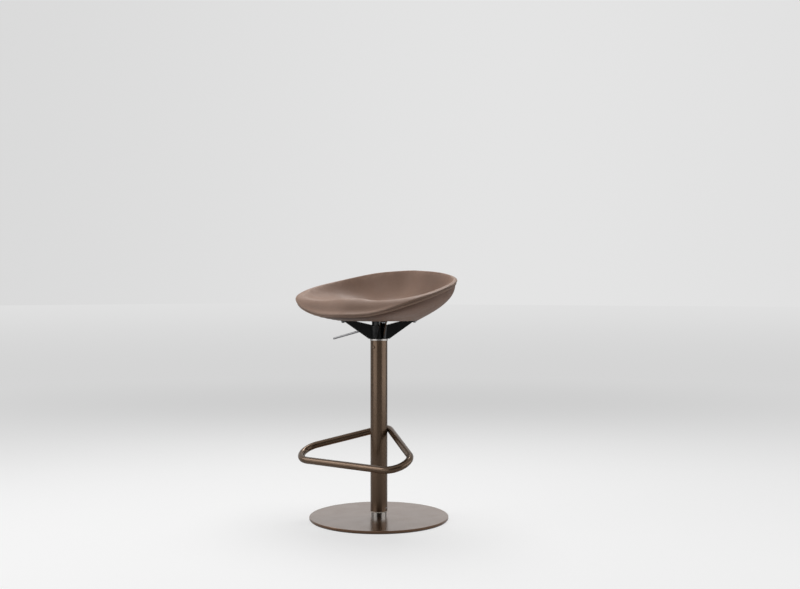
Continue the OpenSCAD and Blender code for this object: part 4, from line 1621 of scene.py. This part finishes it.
@dataclass
class Studio:
    """Pale floor, plain backdrop, soft lights and the camera, whose lens and sensor are millimetres.

    A floor tone is a distance ahead of the camera and the display grey of the floor there.
    """

    camera_place: Triple = (2.0551, -2.6477, 0.7261)
    camera_turn: float = math.radians(36.65)
    lens: float = 46.5
    backdrop: Colour = srgb(225, 225, 225)
    backdrop_left: Colour = srgb(217, 217, 217)
    backdrop_bright: Colour = srgb(228, 228, 228)
    camera_away: float = 3.351
    sensor: float = 36.0
    sight: float = 200.0
    floor_tones: tuple[tuple[float, int], ...] = (
        (60.0, 225), (21.0, 218), (12.0, 213), (8.2, 212), (6.8, 218), (5.8, 231), (5.0, 239), (4.2, 242),
        (3.2, 245), (2.4, 250))
    ambient: float = 0.1
    room: Colour = (0.03, 0.03, 0.03)
    room_span: Pair = (0.55, 0.9)
    bright_span: Pair = (0.12, 0.45)
    left_span: Pair = (-0.5, 0.14)
    floor_albedo: float = 0.8
    floor_shadow: float = 0.3
    floor_shadow_span: Pair = (1.5, 6.0)
    floor_gloss: float = 0.45
    floor_reach: float = 60.0
    boxes: tuple[Softbox, ...] = (
        Softbox("top_light", (-0.35, 0.65, 2.9), (0.0, 0.0, 0.7), 1.5, 1.5, 66.0),
        Softbox("key_light", (-1.6, -1.4, 1.65), (0.0, 0.0, 0.7), 1.5, 1.1, 18.0),
        Softbox("left_box", (-0.75, -2.5, 0.5), (0.0, 0.0, 0.45), 2.6, 0.9, 10.0),
        Softbox("right_box", (2.4, 0.96, 0.5), (0.0, 0.0, 0.45), 3.4, 0.9, 14.0),
    )

    def set_camera(self) -> None:
        """Places the camera at the photograph's viewpoint."""
        data = bpy.data.cameras.new("camera")
        data.lens = self.lens
        data.sensor_width = self.sensor
        data.clip_end = self.sight
        camera = bpy.data.objects.new("camera", data)
        camera.location = self.camera_place
        camera.rotation_euler = (math.pi / 2, 0.0, self.camera_turn)
        bpy.context.scene.collection.objects.link(camera)
        bpy.context.scene.camera = camera

    def set_lights(self) -> None:
        """Hangs the softboxes."""
        for box in self.boxes:
            data = bpy.data.lights.new(box.name, "AREA")
            data.shape = "RECTANGLE"
            data.size = box.width
            data.size_y = box.height
            data.energy = box.power
            lamp = bpy.data.objects.new(box.name, data)
            lamp.location = box.place
            lamp.rotation_euler = (Vector(box.target) - Vector(box.place)).to_track_quat("-Z", "Y").to_euler()
            lamp.visible_camera = False
            bpy.context.scene.collection.objects.link(lamp)

    @staticmethod
    def rays(graph: Graph) -> tuple[Outputs, Socket]:
        """Kinds of ray, and whether the camera looks straight or through glass."""
        path = graph.node("ShaderNodeLightPath").outputs
        return path, graph.math("MAXIMUM", path["Is Camera Ray"], path["Is Transmission Ray"])

    def set_world(self) -> None:
        """Lights evenly, shows the backdrop to camera and gloss, and the dark room before it to gloss."""
        world = bpy.data.worlds.new("studio")
        bpy.context.scene.world = world
        world.use_nodes = True
        graph = Graph(world.node_tree)
        path, seen = self.rays(graph)
        way = graph.node("ShaderNodeTexCoord").outputs["Generated"]
        towards = (math.sin(self.camera_turn), -math.cos(self.camera_turn), 0.0)
        right = (math.cos(self.camera_turn), math.sin(self.camera_turn), 0.0)
        facing = graph.vector("DOT_PRODUCT", way, towards)["Value"]
        aside = graph.vector("DOT_PRODUCT", way, right)["Value"]
        mirrored = graph.mix(graph.scaled(facing, *self.room_span), self.backdrop, self.room)
        lit = graph.mix(path["Is Glossy Ray"], (self.ambient,) * 3, mirrored)
        bright = graph.mix(graph.scaled(aside, *self.bright_span), self.backdrop_bright, self.backdrop)
        wall = graph.mix(graph.scaled(aside, *self.left_span), self.backdrop_left, bright)
        shown = graph.node("ShaderNodeBackground", {"Color": graph.mix(seen, lit, wall), "Strength": 1.0})
        graph.node("ShaderNodeOutputWorld", {"Surface": shown.outputs[0]})

    def floor_material(self) -> bpy.types.Material:
        """Floor that takes soft shadows and fades into the backdrop far away.

        Returns:
            The floor's material.
        """
        made = bpy.data.materials.new("studio floor")
        made.use_nodes = True
        graph = Graph(made.node_tree)
        place = graph.place()
        away = graph.vector("LENGTH", place)["Value"]
        ahead = (-math.sin(self.camera_turn), math.cos(self.camera_turn), 0.0)
        depth = graph.math("ADD", graph.vector("DOT_PRODUCT", place, ahead)["Value"], self.camera_away)
        nearest = self.floor_tones[-1][0]
        nearness = graph.math("DIVIDE", nearest, graph.math("MAXIMUM", depth, nearest))
        ramp = graph.node("ShaderNodeValToRGB", {"Fac": nearness})
        stops = ramp.color_ramp
        stops.interpolation = "B_SPLINE"
        ready = len(stops.elements)
        for number, (distance, grey) in enumerate(self.floor_tones):
            stop = stops.elements[number] if number < ready else stops.elements.new(1.0)
            stop.position = nearest / distance
            stop.color = (*srgb(grey, grey, grey), 1.0)
        tone = ramp.outputs["Color"]
        path, seen = self.rays(graph)
        shown = graph.math("ADD", seen, graph.times(path["Is Glossy Ray"], self.floor_gloss))
        shaded = graph.scaled(away, *self.floor_shadow_span, self.floor_shadow, 0.0)
        bounced = graph.times(path["Is Diffuse Ray"], self.floor_albedo)
        matte_tone = graph.mix(graph.math("MAXIMUM", shaded, bounced), BLACK, tone)
        matte = graph.node("ShaderNodeBsdfDiffuse", {"Color": matte_tone})
        glow = graph.node("ShaderNodeEmission", {"Color": graph.mix(shaded, tone, BLACK), "Strength": shown})
        both = graph.node("ShaderNodeAddShader", {0: matte.outputs[0], 1: glow.outputs[0]})
        graph.node("ShaderNodeOutputMaterial", {"Surface": both.outputs[0]})
        return made

    def set_floor(self) -> None:
        """Lays the floor."""
        signs = np.array(((-1.0, -1.0, 0.0), (1.0, -1.0, 0.0), (1.0, 1.0, 0.0), (-1.0, 1.0, 0.0)))
        floor = mesh_object("studio_floor", self.floor_reach * signs, [(0, 1, 2, 3)])
        floor.data.materials.append(self.floor_material())

    def build(self) -> None:
        """Sets up the whole studio."""
        bpy.context.scene.view_settings.view_transform = "Standard"
        self.set_camera()
        self.set_lights()
        self.set_world()
        self.set_floor()


def main() -> None:
    """Dresses the stool and lights it."""
    logging.basicConfig(level=logging.INFO, format="%(name)s: %(message)s")
    Studio().build()
    Metalwork(frame).dress_all()
    form = SeatForm()
    pad = SeatPad(form)
    footrest = Footrest()
    for build in (pad.build, pad.build_stitches, UnderCover(form).build, footrest.build_loop,
                  footrest.build_weld):
        piece = build()
        LOG.info("built %s with %d faces", piece.name, len(piece.data.polygons))


if __name__ == "__main__":
    main()
